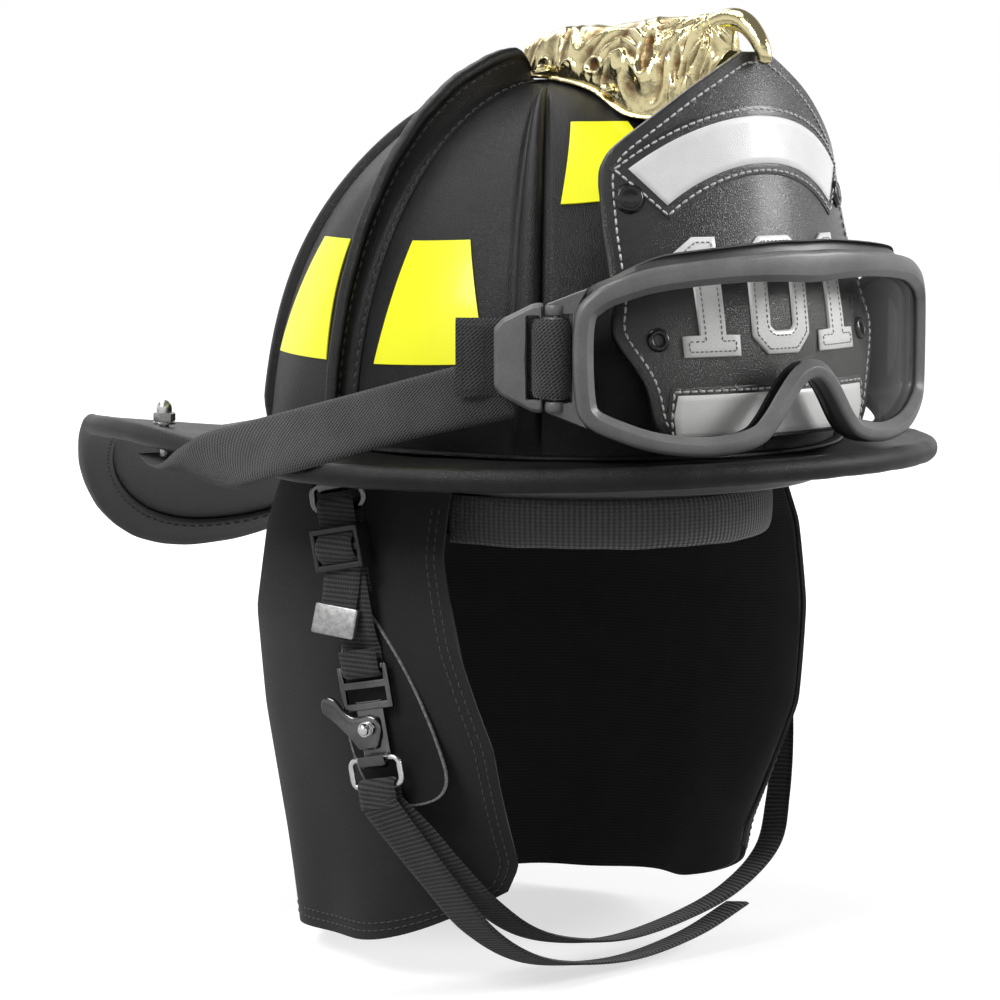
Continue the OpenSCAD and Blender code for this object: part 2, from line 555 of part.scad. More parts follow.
module holder_screws() {
    color([0.8, 0.66, 0.3]) for (y = [-10, -52], m = [-1, 1]) {
        w = holder_half * (y < -30 ? 0.72 : 0.63);
        translate([m * w, y, crown_line(y) + 4.15 - w * w / 190]) rotate([0, m * 12, 0]) {
            cylinder(d = 5.4, h = 1.6);
            translate([0, 0, 1.6]) cylinder(d = 3.6, h = 0.8);
        }
    }
}

// Goggles. Points of the face are [arc, height], laid round the goggle radius. The middle of the frame stands
// goggle_stand in front of the shield, so that the axis of its curve moves with the radius
goggle_stand = 18;
goggle_axis = shield_y - goggle_stand + goggle_r;
function on_goggle(q, r) = let (w = q[0] / goggle_r * 180 / PI) [r * sin(w), goggle_axis - r * cos(w), q[1]];
// Right half of the frame's outer edge, from the middle of the top round to the middle of the nose arch
goggle_outer = [[0, 0], [16, 0], [44, -2], [70, -5], [84, -9], [94, -14], [101, -24], [101, -52], [97, -63],
    [84, -69.5], [69, -74], [51, -76], [36, -75], [25, -72], [18, -66], [11, -57], [5, -50.5], [0, -48.5]];
// The same points with more between them, no more than step apart
function refined(p, step) = concat([for (i = [0 : len(p) - 2]) let (n = ceil(norm(p[i + 1] - p[i]) / step))
    for (j = [0 : n - 1]) lerp(p[i], p[i + 1], j / n)], [p[len(p) - 1]]);
function goggle_edge(inset) = let (half = refined(goggle_outer * goggle_half / 101, 13),
    line = concat([for (q = half) q], [for (i = [len(half) - 2 : -1 : 1]) [-half[i][0], half[i][1]]]), n = len(line))
    [for (i = [0 : n - 1]) let (p = line[i], along = unit(line[(i + 1) % n] - line[(i + n - 1) % n]))
        [p[0] + along[1] * inset, goggle_top + p[1] - along[0] * inset]];
function goggle_back(q) = goggle_r - 11 - 23 * pow(abs(q[0]) / goggle_half, 10);
module goggle_frame() {
    outer = goggle_edge(0);
    lip = goggle_edge(goggle_bar * 0.25);
    bar = goggle_edge(goggle_bar * 0.8);
    inner = goggle_edge(goggle_bar);
    groove = goggle_edge(goggle_bar * 0.55);
    rear = goggle_edge(goggle_bar * 0.7);
    r = goggle_r;
    color([0.36, 0.36, 0.36]) skin([for (i = [0 : len(outer) - 1])
        [on_goggle(outer[i], r - 4), on_goggle(lip[i], r), on_goggle(bar[i], r - 0.4), on_goggle(inner[i], r - 2.2),
            on_goggle(inner[i], r - 3), on_goggle(groove[i], r - 3.1), on_goggle(groove[i], r - 4.2 - lens_t),
            on_goggle(rear[i], r - 4.4 - lens_t), on_goggle(rear[i], goggle_back(outer[i]) + 2.5),
            on_goggle(outer[i], goggle_back(outer[i]) + 2.5)]], loop = true);
}
// The lens is curved about the same axis as the frame and stands in its groove
module goggle_lens() {
    r = goggle_r - 3.6;
    color([0.8, 0.9, 0.9, 0.35]) intersection() {
        translate([0, goggle_axis, 0]) difference() {
            cylinder(r = r, h = goggle_top, $fn = 96);
            translate([0, 0, -1]) cylinder(r = r - lens_t, h = goggle_top + 2, $fn = 96);
        }
        upright() polygon([for (q = goggle_edge(goggle_bar * 0.85)) [r * sin(q[0] / goggle_r * 180 / PI), q[1]]]);
    }
}
module face_foam() {
    rim = goggle_edge(0);
    outer = goggle_edge(0.8);
    inner = goggle_edge(goggle_bar * 0.65);
    color([0.1, 0.1, 0.1]) skin([for (i = [0 : len(rim) - 1]) let (b = goggle_back(rim[i]))
        [on_goggle(outer[i], b + 2.1), on_goggle(inner[i], b + 2.1), on_goggle(inner[i], b), on_goggle(outer[i], b)]],
        loop = true);
}
// Strap clips turn on upright pins behind the ends of the frame. X runs back along the clip, Y outward
pin_gap = 7.08;
pin_turn = (goggle_half + pin_gap) / goggle_r * 180 / PI;
pin_at = [-(goggle_r - 15) * sin(pin_turn), goggle_axis - (goggle_r - 15) * cos(pin_turn)];
clip_angle = pin_turn + 89.3;
clip_z = goggle_top - 39;
module at_pin() { translate([pin_at[0], pin_at[1], clip_z]) rotate([0, 0, clip_angle]) children(); }
module clip_bracket() {
    color([0.33, 0.33, 0.33]) at_pin() difference() {
        union() {
            for (m = [-1, 1]) translate([0, 0, m * 18]) cylinder(d = 8, h = 4, center = true);
            translate([-5.8, -3, -20]) cube([1.8, 6, 40]);
            for (m = [-1, 1]) translate([-4.5, -3, m * 18 - 2]) cube([4.5, 6, 4]);
        }
        cylinder(d = clip_pin_d, h = 60, center = true);
    }
}
module clip_bracket_right() { clip_bracket(); }
module clip_bracket_left() { mirror([1, 0, 0]) clip_bracket(); }
module clip_pins() {
    color("silver") for (m = [0, 1]) mirror([m, 0, 0]) at_pin() cylinder(d = clip_pin_d, h = 44, center = true);
}
module strap_clip() {
    color([0.36, 0.36, 0.36]) at_pin() difference() {
        union() {
            cylinder(d = 8, h = 31, center = true);
            rotate([90, 0, 0]) translate([0, 0, -2]) linear_extrude(4)
                polygon([[0, -15.5], [4.8, -15.5], [9, -22], [14, -22], [clip_l, -15], [clip_l + 1, -12],
                    [clip_l + 1, 12], [clip_l, 15], [14, 22], [9, 22], [4.8, 15.5], [0, 15.5]]);
        }
        cylinder(d = clip_pin_d + 2 * run, h = 60, center = true);
        translate([clip_l - 18, -10, -elastic_w / 2 - 1]) cube([7, 20, elastic_w + 2]);
    }
}
module strap_clip_right() { strap_clip(); }
module strap_clip_left() { mirror([1, 0, 0]) strap_clip(); }
// The end of the elastic goes through the slot of the clip, folds back round its rear bar and is sewn
module elastic_loop() {
    t = elastic_t;
    far = clip_l + 17;
    slot = clip_l - 18 + 3.5;
    color([0.08, 0.08, 0.08]) at_pin() translate([0, 0, -elastic_w / 2]) linear_extrude(elastic_w)
        difference() {
            polygon([[slot - t / 2, 2.3 + t], [clip_l + 4, 2.3 + t], [clip_l + 8, t + 0.2], [far, t + 0.2],
                [far, 0], [far, -t - 0.2], [clip_l + 8, -t - 0.2], [clip_l + 4, -2.3 - t], [slot - t / 2, -2.3 - t]]);
            polygon([[slot + t / 2, 2.3], [clip_l + 3.5, 2.3], [clip_l + 6, 0.1], [clip_l + 6, -0.1],
                [clip_l + 3.5, -2.3], [slot + t / 2, -2.3]]);
        }
}
module elastic_loop_right() { elastic_loop(); }
module elastic_loop_left() { mirror([1, 0, 0]) elastic_loop(); }
// Elastic from the clip, down over the edge of the brim and under it to the bolt: [lower edge, upper edge]
bolt_d = 4;
// The bolt stands at this turn and share of the way from the crown to the rolled edge
bolt_turn = 114.6;
bolt_share = 0.75;
bolt_at = brim_top(bolt_turn, bolt_share);
bolt_top = 2 * seat;
clip_end = [pin_at[0] + (clip_l + 17.4) * cos(clip_angle), pin_at[1] + (clip_l + 17.4) * sin(clip_angle)];
elastic_path = [
    [[clip_end[0], clip_end[1], clip_z - 16], [clip_end[0], clip_end[1], clip_z + 15]],
    [[-133, -49, 12], [-129, -42, 39]],
    [[-144, -33, 5.5], [-137, -12, 27]],
    [[-152, -20, -3], [-144.5, 12, 17]],
    [[-152, -8, -10.5], [-151.3, 30, 8]],
    [[-147.5, 12, -14], [-152.5, 48, -0.5]],
    [[-138.5, 40, -14.5], [-151, 62, -8]],
    [[-126, 66, -12.5], [-143, 82, -11]],
    [[-114, 88, -10], [-134, 102, -10]],
    [[-104, 108, -10.5], [-122, 122, -11]]];
module goggle_strap() {
    rows = elastic_path;
    n = len(rows);
    color([0.08, 0.08, 0.08]) difference() {
        skin([for (i = [0 : n - 1]) let (p = rows[i], along = rows[min(n - 1, i + 1)][0] - rows[max(0, i - 1)][0],
            across = p[1] - p[0], out = unit(cross(across, along)) * elastic_t)
            [p[0], p[1], p[1] + out, p[0] + out]]);
        translate([bolt_at[0], bolt_at[1], 0]) cylinder(d = bolt_d + 0.4, h = 60, center = true);
    }
}
module goggle_strap_right() { goggle_strap(); }
module goggle_strap_left() { mirror([1, 0, 0]) goggle_strap(); }
module at_bolts() { for (m = [0, 1]) mirror([m, 0, 0]) translate(bolt_at) children(); }
module strap_bolts() {
    color("silver") at_bolts() {
        translate([0, 0, -16.5]) cylinder(d = bolt_d, h = 22);
        translate([0, 0, -17.2]) cylinder(d1 = 6, d2 = 9.5, h = 2.2);
    }
}
module acorn_nuts() {
    color("silver") at_bolts() difference() {
        union() {
            translate([0, 0, bolt_top]) cylinder(d = 9.5, h = 1);
            translate([0, 0, bolt_top + 1]) cylinder(d = 9.2, h = 4, $fn = 6);
            translate([0, 0, bolt_top + 5]) cylinder(d = 6.4, h = 2);
            translate([0, 0, bolt_top + 7]) sphere(d = 6.4);
        }
        translate([0, 0, bolt_top - 1]) cylinder(d = bolt_d + run, h = 6.6);
    }
}

// Chin strap. Its hardware hangs in one leaning line: X outward, Y forward, Z up, from the hanger ring
ring_at = [-crown_a - 10, -6, -13];
module at_chin(m = 0) {
    mirror([m, 0, 0]) translate(ring_at) rotate([0, 0, 180 + chin_turn]) rotate([chin_lean, 0, 0]) children();
}
// Rectangle of round wire with rounded corners, w wide and h high in Y and Z, hanging down from the origin
module wire_ring(w, h, d) {
    r = d * 1.2;
    for (m = [-1, 1]) {
        translate([0, m * w / 2, -h + r]) cylinder(d = d, h = h - 2 * r);
        for (z = [0, -h]) translate([0, 0, z]) rotate([90, 0, 0]) cylinder(d = d, h = w - 2 * r, center = true);
        translate([0, m * (w / 2 - r), -r]) rotate([90, 0, 90]) rotate([0, 0, m > 0 ? 0 : 90])
            rotate_extrude(angle = 90) translate([r, 0]) circle(d = d);
        translate([0, m * (w / 2 - r), -h + r]) rotate([90, 0, 90]) rotate([0, 0, m > 0 ? 270 : 180])
            rotate_extrude(angle = 90) translate([r, 0]) circle(d = d);
    }
}
ring_h = 10;
// Middle of the ring wire, inside the face of the webbing that hangs from it
ring_x = -2.6;
// The hanger lies under the brim, which is lowest over its outer corner
hanger_share = (19 + crown_t) / (brim_w / 2 - crown_a + crown_t);
hanger_top = min(0, brim_top(86, hanger_share)[2]) - brim_t;
module chin_hanger(m) {
    color("silver") mirror([m, 0, 0]) translate(ring_at) rotate([0, 0, 180 + chin_turn]) difference() {
        union() {
            translate([-12, -9, hanger_top - 1.6 - ring_at[2]]) cube([18, 18, 1.6]);
            translate([ring_x - 0.8, -7, 0]) cube([1.6, 14, hanger_top - ring_at[2] - 0.5]);
            translate([ring_x, 0, 0]) rotate([90 + chin_lean, 0, 0]) cylinder(d = 7, h = 14, center = true);
        }
        translate([ring_x, 0, 0]) rotate([90 + chin_lean, 0, 0])
            cylinder(d = ring_wire_d + 0.4, h = 30, center = true);
        translate([-8.5, 0, 0]) cylinder(d = 4.4, h = 20);
    }
}
module chin_hanger_right() { chin_hanger(0); }
module chin_hanger_left() { chin_hanger(1); }
module chin_ring(m) { color("silver") at_chin(m) translate([ring_x, 0, 0]) wire_ring(web_w + 6, ring_h, ring_wire_d); }
module chin_ring_right() { chin_ring(0); }
module chin_ring_left() { chin_ring(1); }
slide_z = -25.2;
frame_z = -76;
tail_end = [5.6, -56];
module web_extrude(w = web_w) { rotate([90, 0, 0]) linear_extrude(w, center = true) children(); }
// From the slot of the hook frame up, over the ring, and down through the slide buckle
module upper_webbing() {
    color([0.09, 0.09, 0.09]) at_chin() web_extrude() {
        ribbon(concat([[3.5, frame_z + 10]], arc([1.3, frame_z + 1.9], 2.2, 0, -180), [[-0.9, frame_z + 8],
            [1.2, frame_z + 16]], arc([ring_x, -ring_h + 0.6], 3.8, 0, 180), [[-1.6, -16.5], [-1.6, -44]]), web_t);
        ribbon([[2.9, -17.5], [3, -43], tail_end], web_t);
    }
}
module slide_buckle() {
    high = 17;
    inside = web_w + 1;
    color([0.05, 0.05, 0.05]) at_chin() translate([0, 0, slide_z - high / 2]) difference() {
        translate([-4.8, -inside / 2 - 1.8, 0]) cube([11, inside + 3.6, high]);
        translate([-3, -inside / 2, -1]) cube([7.4, inside, high + 2]);
        for (z = [2.2, 10]) translate([-6, -inside / 2, z]) cube([20, inside, 4.8]);
    }
}
module webbing_tip() {
    lean = atan2(tail_end[0] - 3, -43 - tail_end[1]);
    color("silver") at_chin() translate([tail_end[0], 0, tail_end[1]]) rotate([0, -lean, 0]) difference() {
        translate([-web_t / 2 - 0.8, -web_w / 2 - 0.9, -3]) cube([web_t + 1.6, web_w + 1.8, 12]);
        translate([-web_t / 2 - 0.15, -web_w / 2 - 0.3, -0.3]) cube([web_t + 0.3, web_w + 0.6, 12]);
    }
}
// Quick-release hook: a plate with two slots and a hook, a sprung lever that shuts it, and the ring that it holds
plate_t = 2;
plate_in = 0.3;
lever_z = frame_z - 21;
hook_ring_z = lever_z - 12;
hook_wire_d = 2.4;
hook_x = plate_in + plate_t + hook_wire_d / 2 + 0.8;
module slot_cut(z, h) { translate([-5, -web_w / 2 - 0.5, z]) cube([20, web_w + 1, h]); }
module hook_frame() {
    mid = plate_in + plate_t / 2;
    color([0.25, 0.25, 0.25]) at_chin() difference() {
        union() {
            translate([plate_in, -web_w / 2 - 3.5, frame_z - 14]) cube([plate_t, web_w + 7, 18]);
            web_extrude(12) ribbon(concat([[mid, frame_z - 12]], arc([hook_x, hook_ring_z], hook_x - mid, 180, 360),
                [[2 * hook_x - mid, hook_ring_z + 1.2]]), plate_t);
        }
        slot_cut(frame_z - 1.5, 3);
        slot_cut(frame_z - 10, 4);
        translate([-1, 0, lever_z]) rotate([0, 90, 0]) cylinder(d = 3, h = 6);
    }
}
lever_in = plate_in + plate_t + 0.2;
lever_t = 1.8;
module release_lever() {
    color([0.3, 0.3, 0.3]) at_chin() translate([lever_in, 0, lever_z]) rotate([90, 0, 90]) difference() {
        union() {
            cylinder(r = 6.5, h = lever_t);
            linear_extrude(lever_t)
                polygon([[-2, 4], [-16, 15], [-22, 12], [-24, 4], [-23, -8], [-17.5, -2.5], [-12, -3], [-2, -3.6]]);
            linear_extrude(lever_t) polygon([[-4, -2.5], [4, -2.5], [3, -10], [-3, -10]]);
        }
        translate([0, 0, -1]) cylinder(d = 3 + 2 * run, h = 6);
    }
}
spring_wire = 0.7;
spring_turns = 3;
spring_lift = 1.15;
spring_in = lever_in + lever_t + 0.3;
spring_out = spring_in + spring_wire + spring_turns * spring_lift;
module lever_rivet() {
    color("silver") at_chin() translate([0, 0, lever_z]) rotate([0, 90, 0]) {
        translate([0, 0, plate_in]) cylinder(d = 3, h = spring_out + 0.3 - plate_in);
        translate([0, 0, plate_in - 1]) cylinder(d = 6, h = 1);
        translate([0, 0, spring_out + 0.3]) cylinder(d = 7, h = 1.2);
    }
}
// Torsion spring round the rivet, outside the lever
function spring_point(k) = [k / 8 * spring_lift, 2.6 * cos(k * 45), 2.6 * sin(k * 45)];
spring_steps = [0 : 8 * spring_turns];
spring_gap = min([for (i = spring_steps, j = spring_steps) if (j > i + 4) norm(spring_point(i) - spring_point(j))])
    - spring_wire;
module release_spring() {
    color("silver") at_chin() translate([spring_in + spring_wire / 2, 0, lever_z]) skin([for (k = spring_steps)
        let (out = [0, cos(k * 45), sin(k * 45)])
        [for (v = [0 : 60 : 300]) spring_point(k) + (out * cos(v) + [sin(v), 0, 0]) * spring_wire / 2]]);
}
echo(least_gap_of_the_spring_to_itself = spring_gap);
module hook_ring() {
    color("silver") at_chin() translate([hook_x, 0, hook_ring_z]) wire_ring(web_w + 5, 11, hook_wire_d);
}
module buckle_pad() {
    color([0.1, 0.1, 0.1]) at_chin() translate([-3.2, 0, 0]) rotate([90, 0, 90]) linear_extrude(1.2)
        polygon(curve([[-8, -54], [-4, -49], [4, -51], [12, -65], [20, -85], [26, -108], [27, -122], [20, -129],
            [4, -129], [-10, -118], [-14, -90], [-8, -54]], 3));
}
// Chin webbing: two layers from the hook ring. The inner one goes on to the ring on the left
function chin_point(x, y, z) = let (p = turned([x, y * cos(chin_lean) - z * sin(chin_lean),
    y * sin(chin_lean) + z * cos(chin_lean)], 180 + chin_turn)) p + ring_at;
function on_left(p) = [-p[0], p[1], p[2]];
hook_bar_z = hook_ring_z - 11;
hook_loop_r = 2.3;
function beside(share, y, z) = [share * crown_a, y, z];
under_route = [chin_point(hook_x - hook_loop_r, 0, hook_bar_z - 7), beside(-0.944, -37, -149), beside(-0.86, -44, -162),
    beside(-0.73, -50, -178), beside(-0.533, -52, -193), beside(-0.28, -50, -202), beside(0, -48, -206),
    beside(0.3, -49, -202), beside(0.533, -52, -193), beside(0.748, -50, -179), beside(0.87, -43, -161),
    beside(0.972, -35, -137), beside(1.038, -27, -110), beside(1.075, -19, -80), beside(1.085, -14, -56),
    on_left(chin_point(-1, 0, -20))];
over_route = [chin_point(hook_x + hook_loop_r, 0, hook_bar_z - 7), beside(-1, -38, -151), beside(-0.907, -46, -168),
    beside(-0.767, -53, -188), beside(-0.551, -55, -203), beside(-0.28, -53, -211), beside(0.019, -51, -214),
    beside(0.318, -52, -209), beside(0.561, -53, -200)];
// The width turns from one side of the helmet to the other
function web_sections(route, across, thick) = [for (i = [0 : len(route) - 1])
    let (n = len(route), along = unit(route[min(n - 1, i + 1)] - route[max(0, i - 1)]),
        width = [0.37 * (1 - across * i / (n - 1)), -0.91, 0.18],
        w = unit(width - (width * along) * along) * web_w / 2, up = unit(cross(along, w)) * thick / 2, c = route[i])
    [c - w - up, c + w - up, c + w + up, c - w + up]];
module chin_webbing() {
    color([0.09, 0.09, 0.09]) {
        skin(web_sections(curve(under_route, 2), 2, web_t));
        skin(web_sections(curve(over_route, 2), 1.2, web_t));
        at_chin() web_extrude() ribbon(concat([[hook_x + hook_loop_r, hook_bar_z - 8]],
            arc([hook_x, hook_bar_z], hook_loop_r, 0, 180), [[hook_x - hook_loop_r, hook_bar_z - 8]]), web_t);
        at_chin(1) web_extrude() ribbon(concat([[0.85, -27], [0.85, -18], [1.2, -15]],
            arc([ring_x, -ring_h + 0.6], 3.8, 0, 180), [[-2.85, -18], [-2.85, -27]]), web_t);
    }
}

crown_gore_front_right();
crown_gore_front_left();
crown_gore_rear_right();
crown_gore_rear_left();
comb_front();
comb_right();
comb_rear();
comb_left();
brim();
brim_edge_wire();
reflective_trapezoids();
impact_cap();
foam_liner();
crown_straps();
suspension_clips();
headband();
brow_pad();
ratchet_housing();
ratchet_knob();
ratchet_pinion();
ratchet_rack_right();
ratchet_rack_left();
neck_curtain();
curtain_lining();
front_shield();
rocker_panel();
name_panel();
shield_numerals();
shield_snaps();
shield_eyelets();
front_holder();
holder_screws();
goggle_frame();
goggle_lens();
face_foam();
clip_bracket_right();
clip_bracket_left();
clip_pins();
strap_clip_right();
strap_clip_left();
elastic_loop_right();
elastic_loop_left();
goggle_strap_right();
goggle_strap_left();
strap_bolts();
acorn_nuts();
chin_hanger_right();
chin_hanger_left();
chin_ring_right();
chin_ring_left();
upper_webbing();
slide_buckle();
webbing_tip();
hook_frame();
release_lever();
lever_rivet();
release_spring();
hook_ring();
buckle_pad();
chin_webbing();
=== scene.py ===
# Leather fire helmet with goggles, neck curtain and chin strap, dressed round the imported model.
# Metres; pieces are worked out in millimetres and scaled as they become meshes. Front is -Y, up is +Z.
import math

import bmesh
import bpy
import numpy as np
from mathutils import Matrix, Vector


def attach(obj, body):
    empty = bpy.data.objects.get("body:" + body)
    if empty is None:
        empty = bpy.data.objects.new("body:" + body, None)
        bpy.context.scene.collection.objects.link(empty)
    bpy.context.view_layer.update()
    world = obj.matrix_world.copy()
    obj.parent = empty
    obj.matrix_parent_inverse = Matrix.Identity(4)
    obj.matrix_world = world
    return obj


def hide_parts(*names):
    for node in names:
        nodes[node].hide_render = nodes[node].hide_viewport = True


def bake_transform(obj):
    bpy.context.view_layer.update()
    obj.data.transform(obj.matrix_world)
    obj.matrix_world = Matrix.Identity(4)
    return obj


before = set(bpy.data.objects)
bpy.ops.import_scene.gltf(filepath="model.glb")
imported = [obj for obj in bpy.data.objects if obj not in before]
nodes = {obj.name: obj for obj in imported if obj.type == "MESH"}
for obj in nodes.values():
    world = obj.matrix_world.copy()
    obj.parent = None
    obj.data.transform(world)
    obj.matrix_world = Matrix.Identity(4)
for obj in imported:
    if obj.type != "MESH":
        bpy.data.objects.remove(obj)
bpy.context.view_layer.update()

# The camera stands where the photograph was taken from: low, in front and to the wearer's right, 1.4 m away and with
# a long lens, so that the lines of the brim hardly converge.
camera = bpy.data.objects.new("camera", bpy.data.cameras.new("camera"))
bpy.context.scene.collection.objects.link(camera)
bpy.context.scene.camera = camera
camera_turn, camera_rise = math.radians(-40.0), math.radians(6.8)
camera_back = Vector((math.sin(camera_turn) * math.cos(camera_rise), -math.cos(camera_turn) * math.cos(camera_rise),
                      math.sin(camera_rise)))
camera.location = Vector((-0.0153, 0.0129, -0.029)) + 1.4 * camera_back
camera.rotation_mode = "QUATERNION"
camera.rotation_quaternion = camera_back.to_track_quat("Z", "Y")
camera.data.lens, camera.data.sensor_width = 120.96, 36.0
camera.data.clip_start, camera.data.clip_end = 0.05, 60.0


# A pale floor and a soft studio: a broad key, a narrower front light, a weak top and back light, and a white backdrop
# all round for the camera, which metal and glass show as well, under a grey ceiling.
class Wire:
    """One socket of a material's tree. Arithmetic on wires and numbers adds Math nodes."""

    def __init__(self, tree, socket=None):
        self.tree, self.socket = tree, socket

    def node(self, kind, settings=None, sockets=None, out=0):
        """Adds a node: settings first, then sockets by name or number, from values or wires. Gives one output."""
        made = self.tree.nodes.new("ShaderNode" + kind)
        for key, value in (settings or {}).items():
            setattr(made, key, value)
        for key, value in (sockets or {}).items():
            if isinstance(value, Wire):
                self.tree.links.new(value.socket, made.inputs[key])
            else:
                made.inputs[key].default_value = value
        return Wire(self.tree, made.outputs[out])

    def math(self, operation, first, second=0.0):
        return self.node("Math", {"operation": operation}, {0: first, 1: second})

    def __add__(self, other):
        return self.math("ADD", self, other)

    def __sub__(self, other):
        return self.math("SUBTRACT", self, other)

    def __rsub__(self, other):
        return self.math("SUBTRACT", other, self)

    def __mul__(self, other):
        return self.math("MULTIPLY", self, other)

    def __truediv__(self, other):
        return self.math("DIVIDE", self, other)

    def __pow__(self, other):
        return self.math("POWER", self, other)

    __radd__, __rmul__ = __add__, __mul__

    def wave(self, period, share=0.0):
        """Cosine of the value, 0 to 1, once a period, started share of a period along."""
        return 0.5 + 0.5 * self.math("COSINE", self * (2 * math.pi / period) + 2 * math.pi * share)

    def rise(self, low, high, start=0.0, end=1.0):
        """Smooth step of the value, from start at low to end at high."""
        return self.node("MapRange", {"interpolation_type": "SMOOTHSTEP"},
                         {0: self, 1: low, 2: high, 3: start, 4: end})

    def tint(self, dark, light):
        """Colour between two colours, by the value."""
        return self.node("Mix", {"data_type": "RGBA"}, {0: self, 6: (*dark, 1), 7: (*light, 1)}, 2)

    def noise(self, scale, detail=3.0, rough=0.5, at=None):
        """Soft noise on the object's own place, or at another vector; scale is in waves a metre."""
        where = at or self.node("TexCoord", out=3)
        return self.node("TexNoise", None, {"Vector": where, "Scale": scale, "Detail": detail, "Roughness": rough})

    def cells(self, scale, feature="F1", at=None):
        """Distance to the nearest of scattered points."""
        where = at or self.node("TexCoord", out=3)
        return self.node("TexVoronoi", {"feature": feature}, {"Vector": where, "Scale": scale})

    def bump(self, height, strength=1.0, under=None):
        """Normal of a height in metres."""
        sockets = {"Strength": strength, "Distance": 1.0, "Height": height}
        if under:
            sockets["Normal"] = under
        return self.node("Bump", None, sockets)


def seen_white(wire):
    """1 for camera, mirror and glass rays, and 0 for the others."""
    return (wire.node("LightPath", out=0) + wire.node("LightPath", out=3)
            + wire.node("LightPath", out=7)).rise(0.0, 0.5)


floor_z = -0.2175
floor_mesh = bpy.data.meshes.new("floor")
floor_mesh.from_pydata([(-9, -9, floor_z), (9, -9, floor_z), (9, 9, floor_z), (-9, 9, floor_z)], [], [(0, 1, 2, 3)])
floor = bpy.data.objects.new("floor", floor_mesh)
bpy.context.scene.collection.objects.link(floor)
floor_paint = bpy.data.materials.new("pale_floor")
floor_paint.use_nodes = True
ground = Wire(floor_paint.node_tree)
floor_paint.node_tree.nodes.remove(floor_paint.node_tree.nodes["Principled BSDF"])
away = ground.node("VectorMath", {"operation": "LENGTH"}, {0: ground.node("TexCoord", out=3)}, 1).rise(0.25, 1.4)
mirrored = ground.node("LightPath", out=3)
glow = ground.node("Emission", None, {"Color": (1, 1, 1, 1), "Strength": (0.66 + 0.34 * away)
                                      * (1 - 0.85 * mirrored)})
pale = ground.node("BsdfDiffuse", None, {"Color": (0.5, 0.5, 0.5, 1)})
plain = ground.node("BsdfDiffuse", None, {"Color": (0.3, 0.3, 0.3, 1)})
mixed = ground.node("MixShader", None, {0: seen_white(ground), 1: plain,
                                        2: ground.node("AddShader", None, {0: pale, 1: glow})})
ground.tree.links.new(mixed.socket, ground.tree.nodes["Material Output"].inputs[0])
floor_mesh.materials.append(floor_paint)

world = bpy.data.worlds.new("studio")
bpy.context.scene.world = world
world.use_nodes = True
sky = Wire(world.node_tree)
sky_high = Wire(sky.tree, sky.node("SeparateXYZ", None, {0: sky.node("TexCoord", out=0)}).socket.node.outputs[2])
sky_mirrored = sky_high.rise(0.25, 0.6, 1.0, 0.22)
sky_level = 0.26 + seen_white(sky) * (sky_mirrored - 0.26)
camera_only = sky.node("LightPath", out=0)
world.node_tree.links.new((sky_level + camera_only * (1 - sky_level)).socket,
                          world.node_tree.nodes["Background"].inputs["Strength"])
world.node_tree.nodes["Background"].inputs["Color"].default_value = (1, 1, 1, 1)


def panel(name, turn, rise, far, size, power):
    """Square soft lamp that faces the helmet, at a turn and rise in degrees and a distance in metres."""
    lamp = bpy.data.objects.new(name, bpy.data.lights.new(name, "AREA"))
    bpy.context.scene.collection.objects.link(lamp)
    back = Vector((math.sin(math.radians(turn)) * math.cos(math.radians(rise)),
                   -math.cos(math.radians(turn)) * math.cos(math.radians(rise)), math.sin(math.radians(rise))))
    lamp.location = back * far
    lamp.rotation_mode = "QUATERNION"
    lamp.rotation_quaternion = back.to_track_quat("Z", "Y")
    lamp.data.size, lamp.data.energy = size, power


panel("key_panel", -86, 40, 2.0, 0.8, 22)
panel("front_panel", 46, 24, 2.2, 0.8, 36)
panel("top_panel", -150, 62, 2.2, 1.3, 20)
panel("back_panel", 165, 35, 2.4, 1.0, 9)

bpy.context.scene.view_settings.view_transform = "Standard"


# The crown: four gores of heavy wet-formed cowhide, each with a small bead pressed in it, painted black and buffed.
# Their edges turn outward along the four seams and are sewn together as the combs.
def material(name, **fixed):
    """New material, with constants on its shader's own sockets. Gives it, a Wire of its tree, and the sockets."""
    made = bpy.data.materials.new(name)
    made.use_nodes = True
    shader = made.node_tree.nodes["Principled BSDF"]
    for key, value in fixed.items():
        socket = shader.inputs[key.replace("_", " ")]
        socket.default_value = (*value, 1) if isinstance(value, tuple) and socket.type == "RGBA" else value
    return made, Wire(made.node_tree), shader.inputs


def link(inputs, name, wire):
    """Feeds a shader's socket from a wire."""
    wire.tree.links.new(wire.socket, inputs[name])


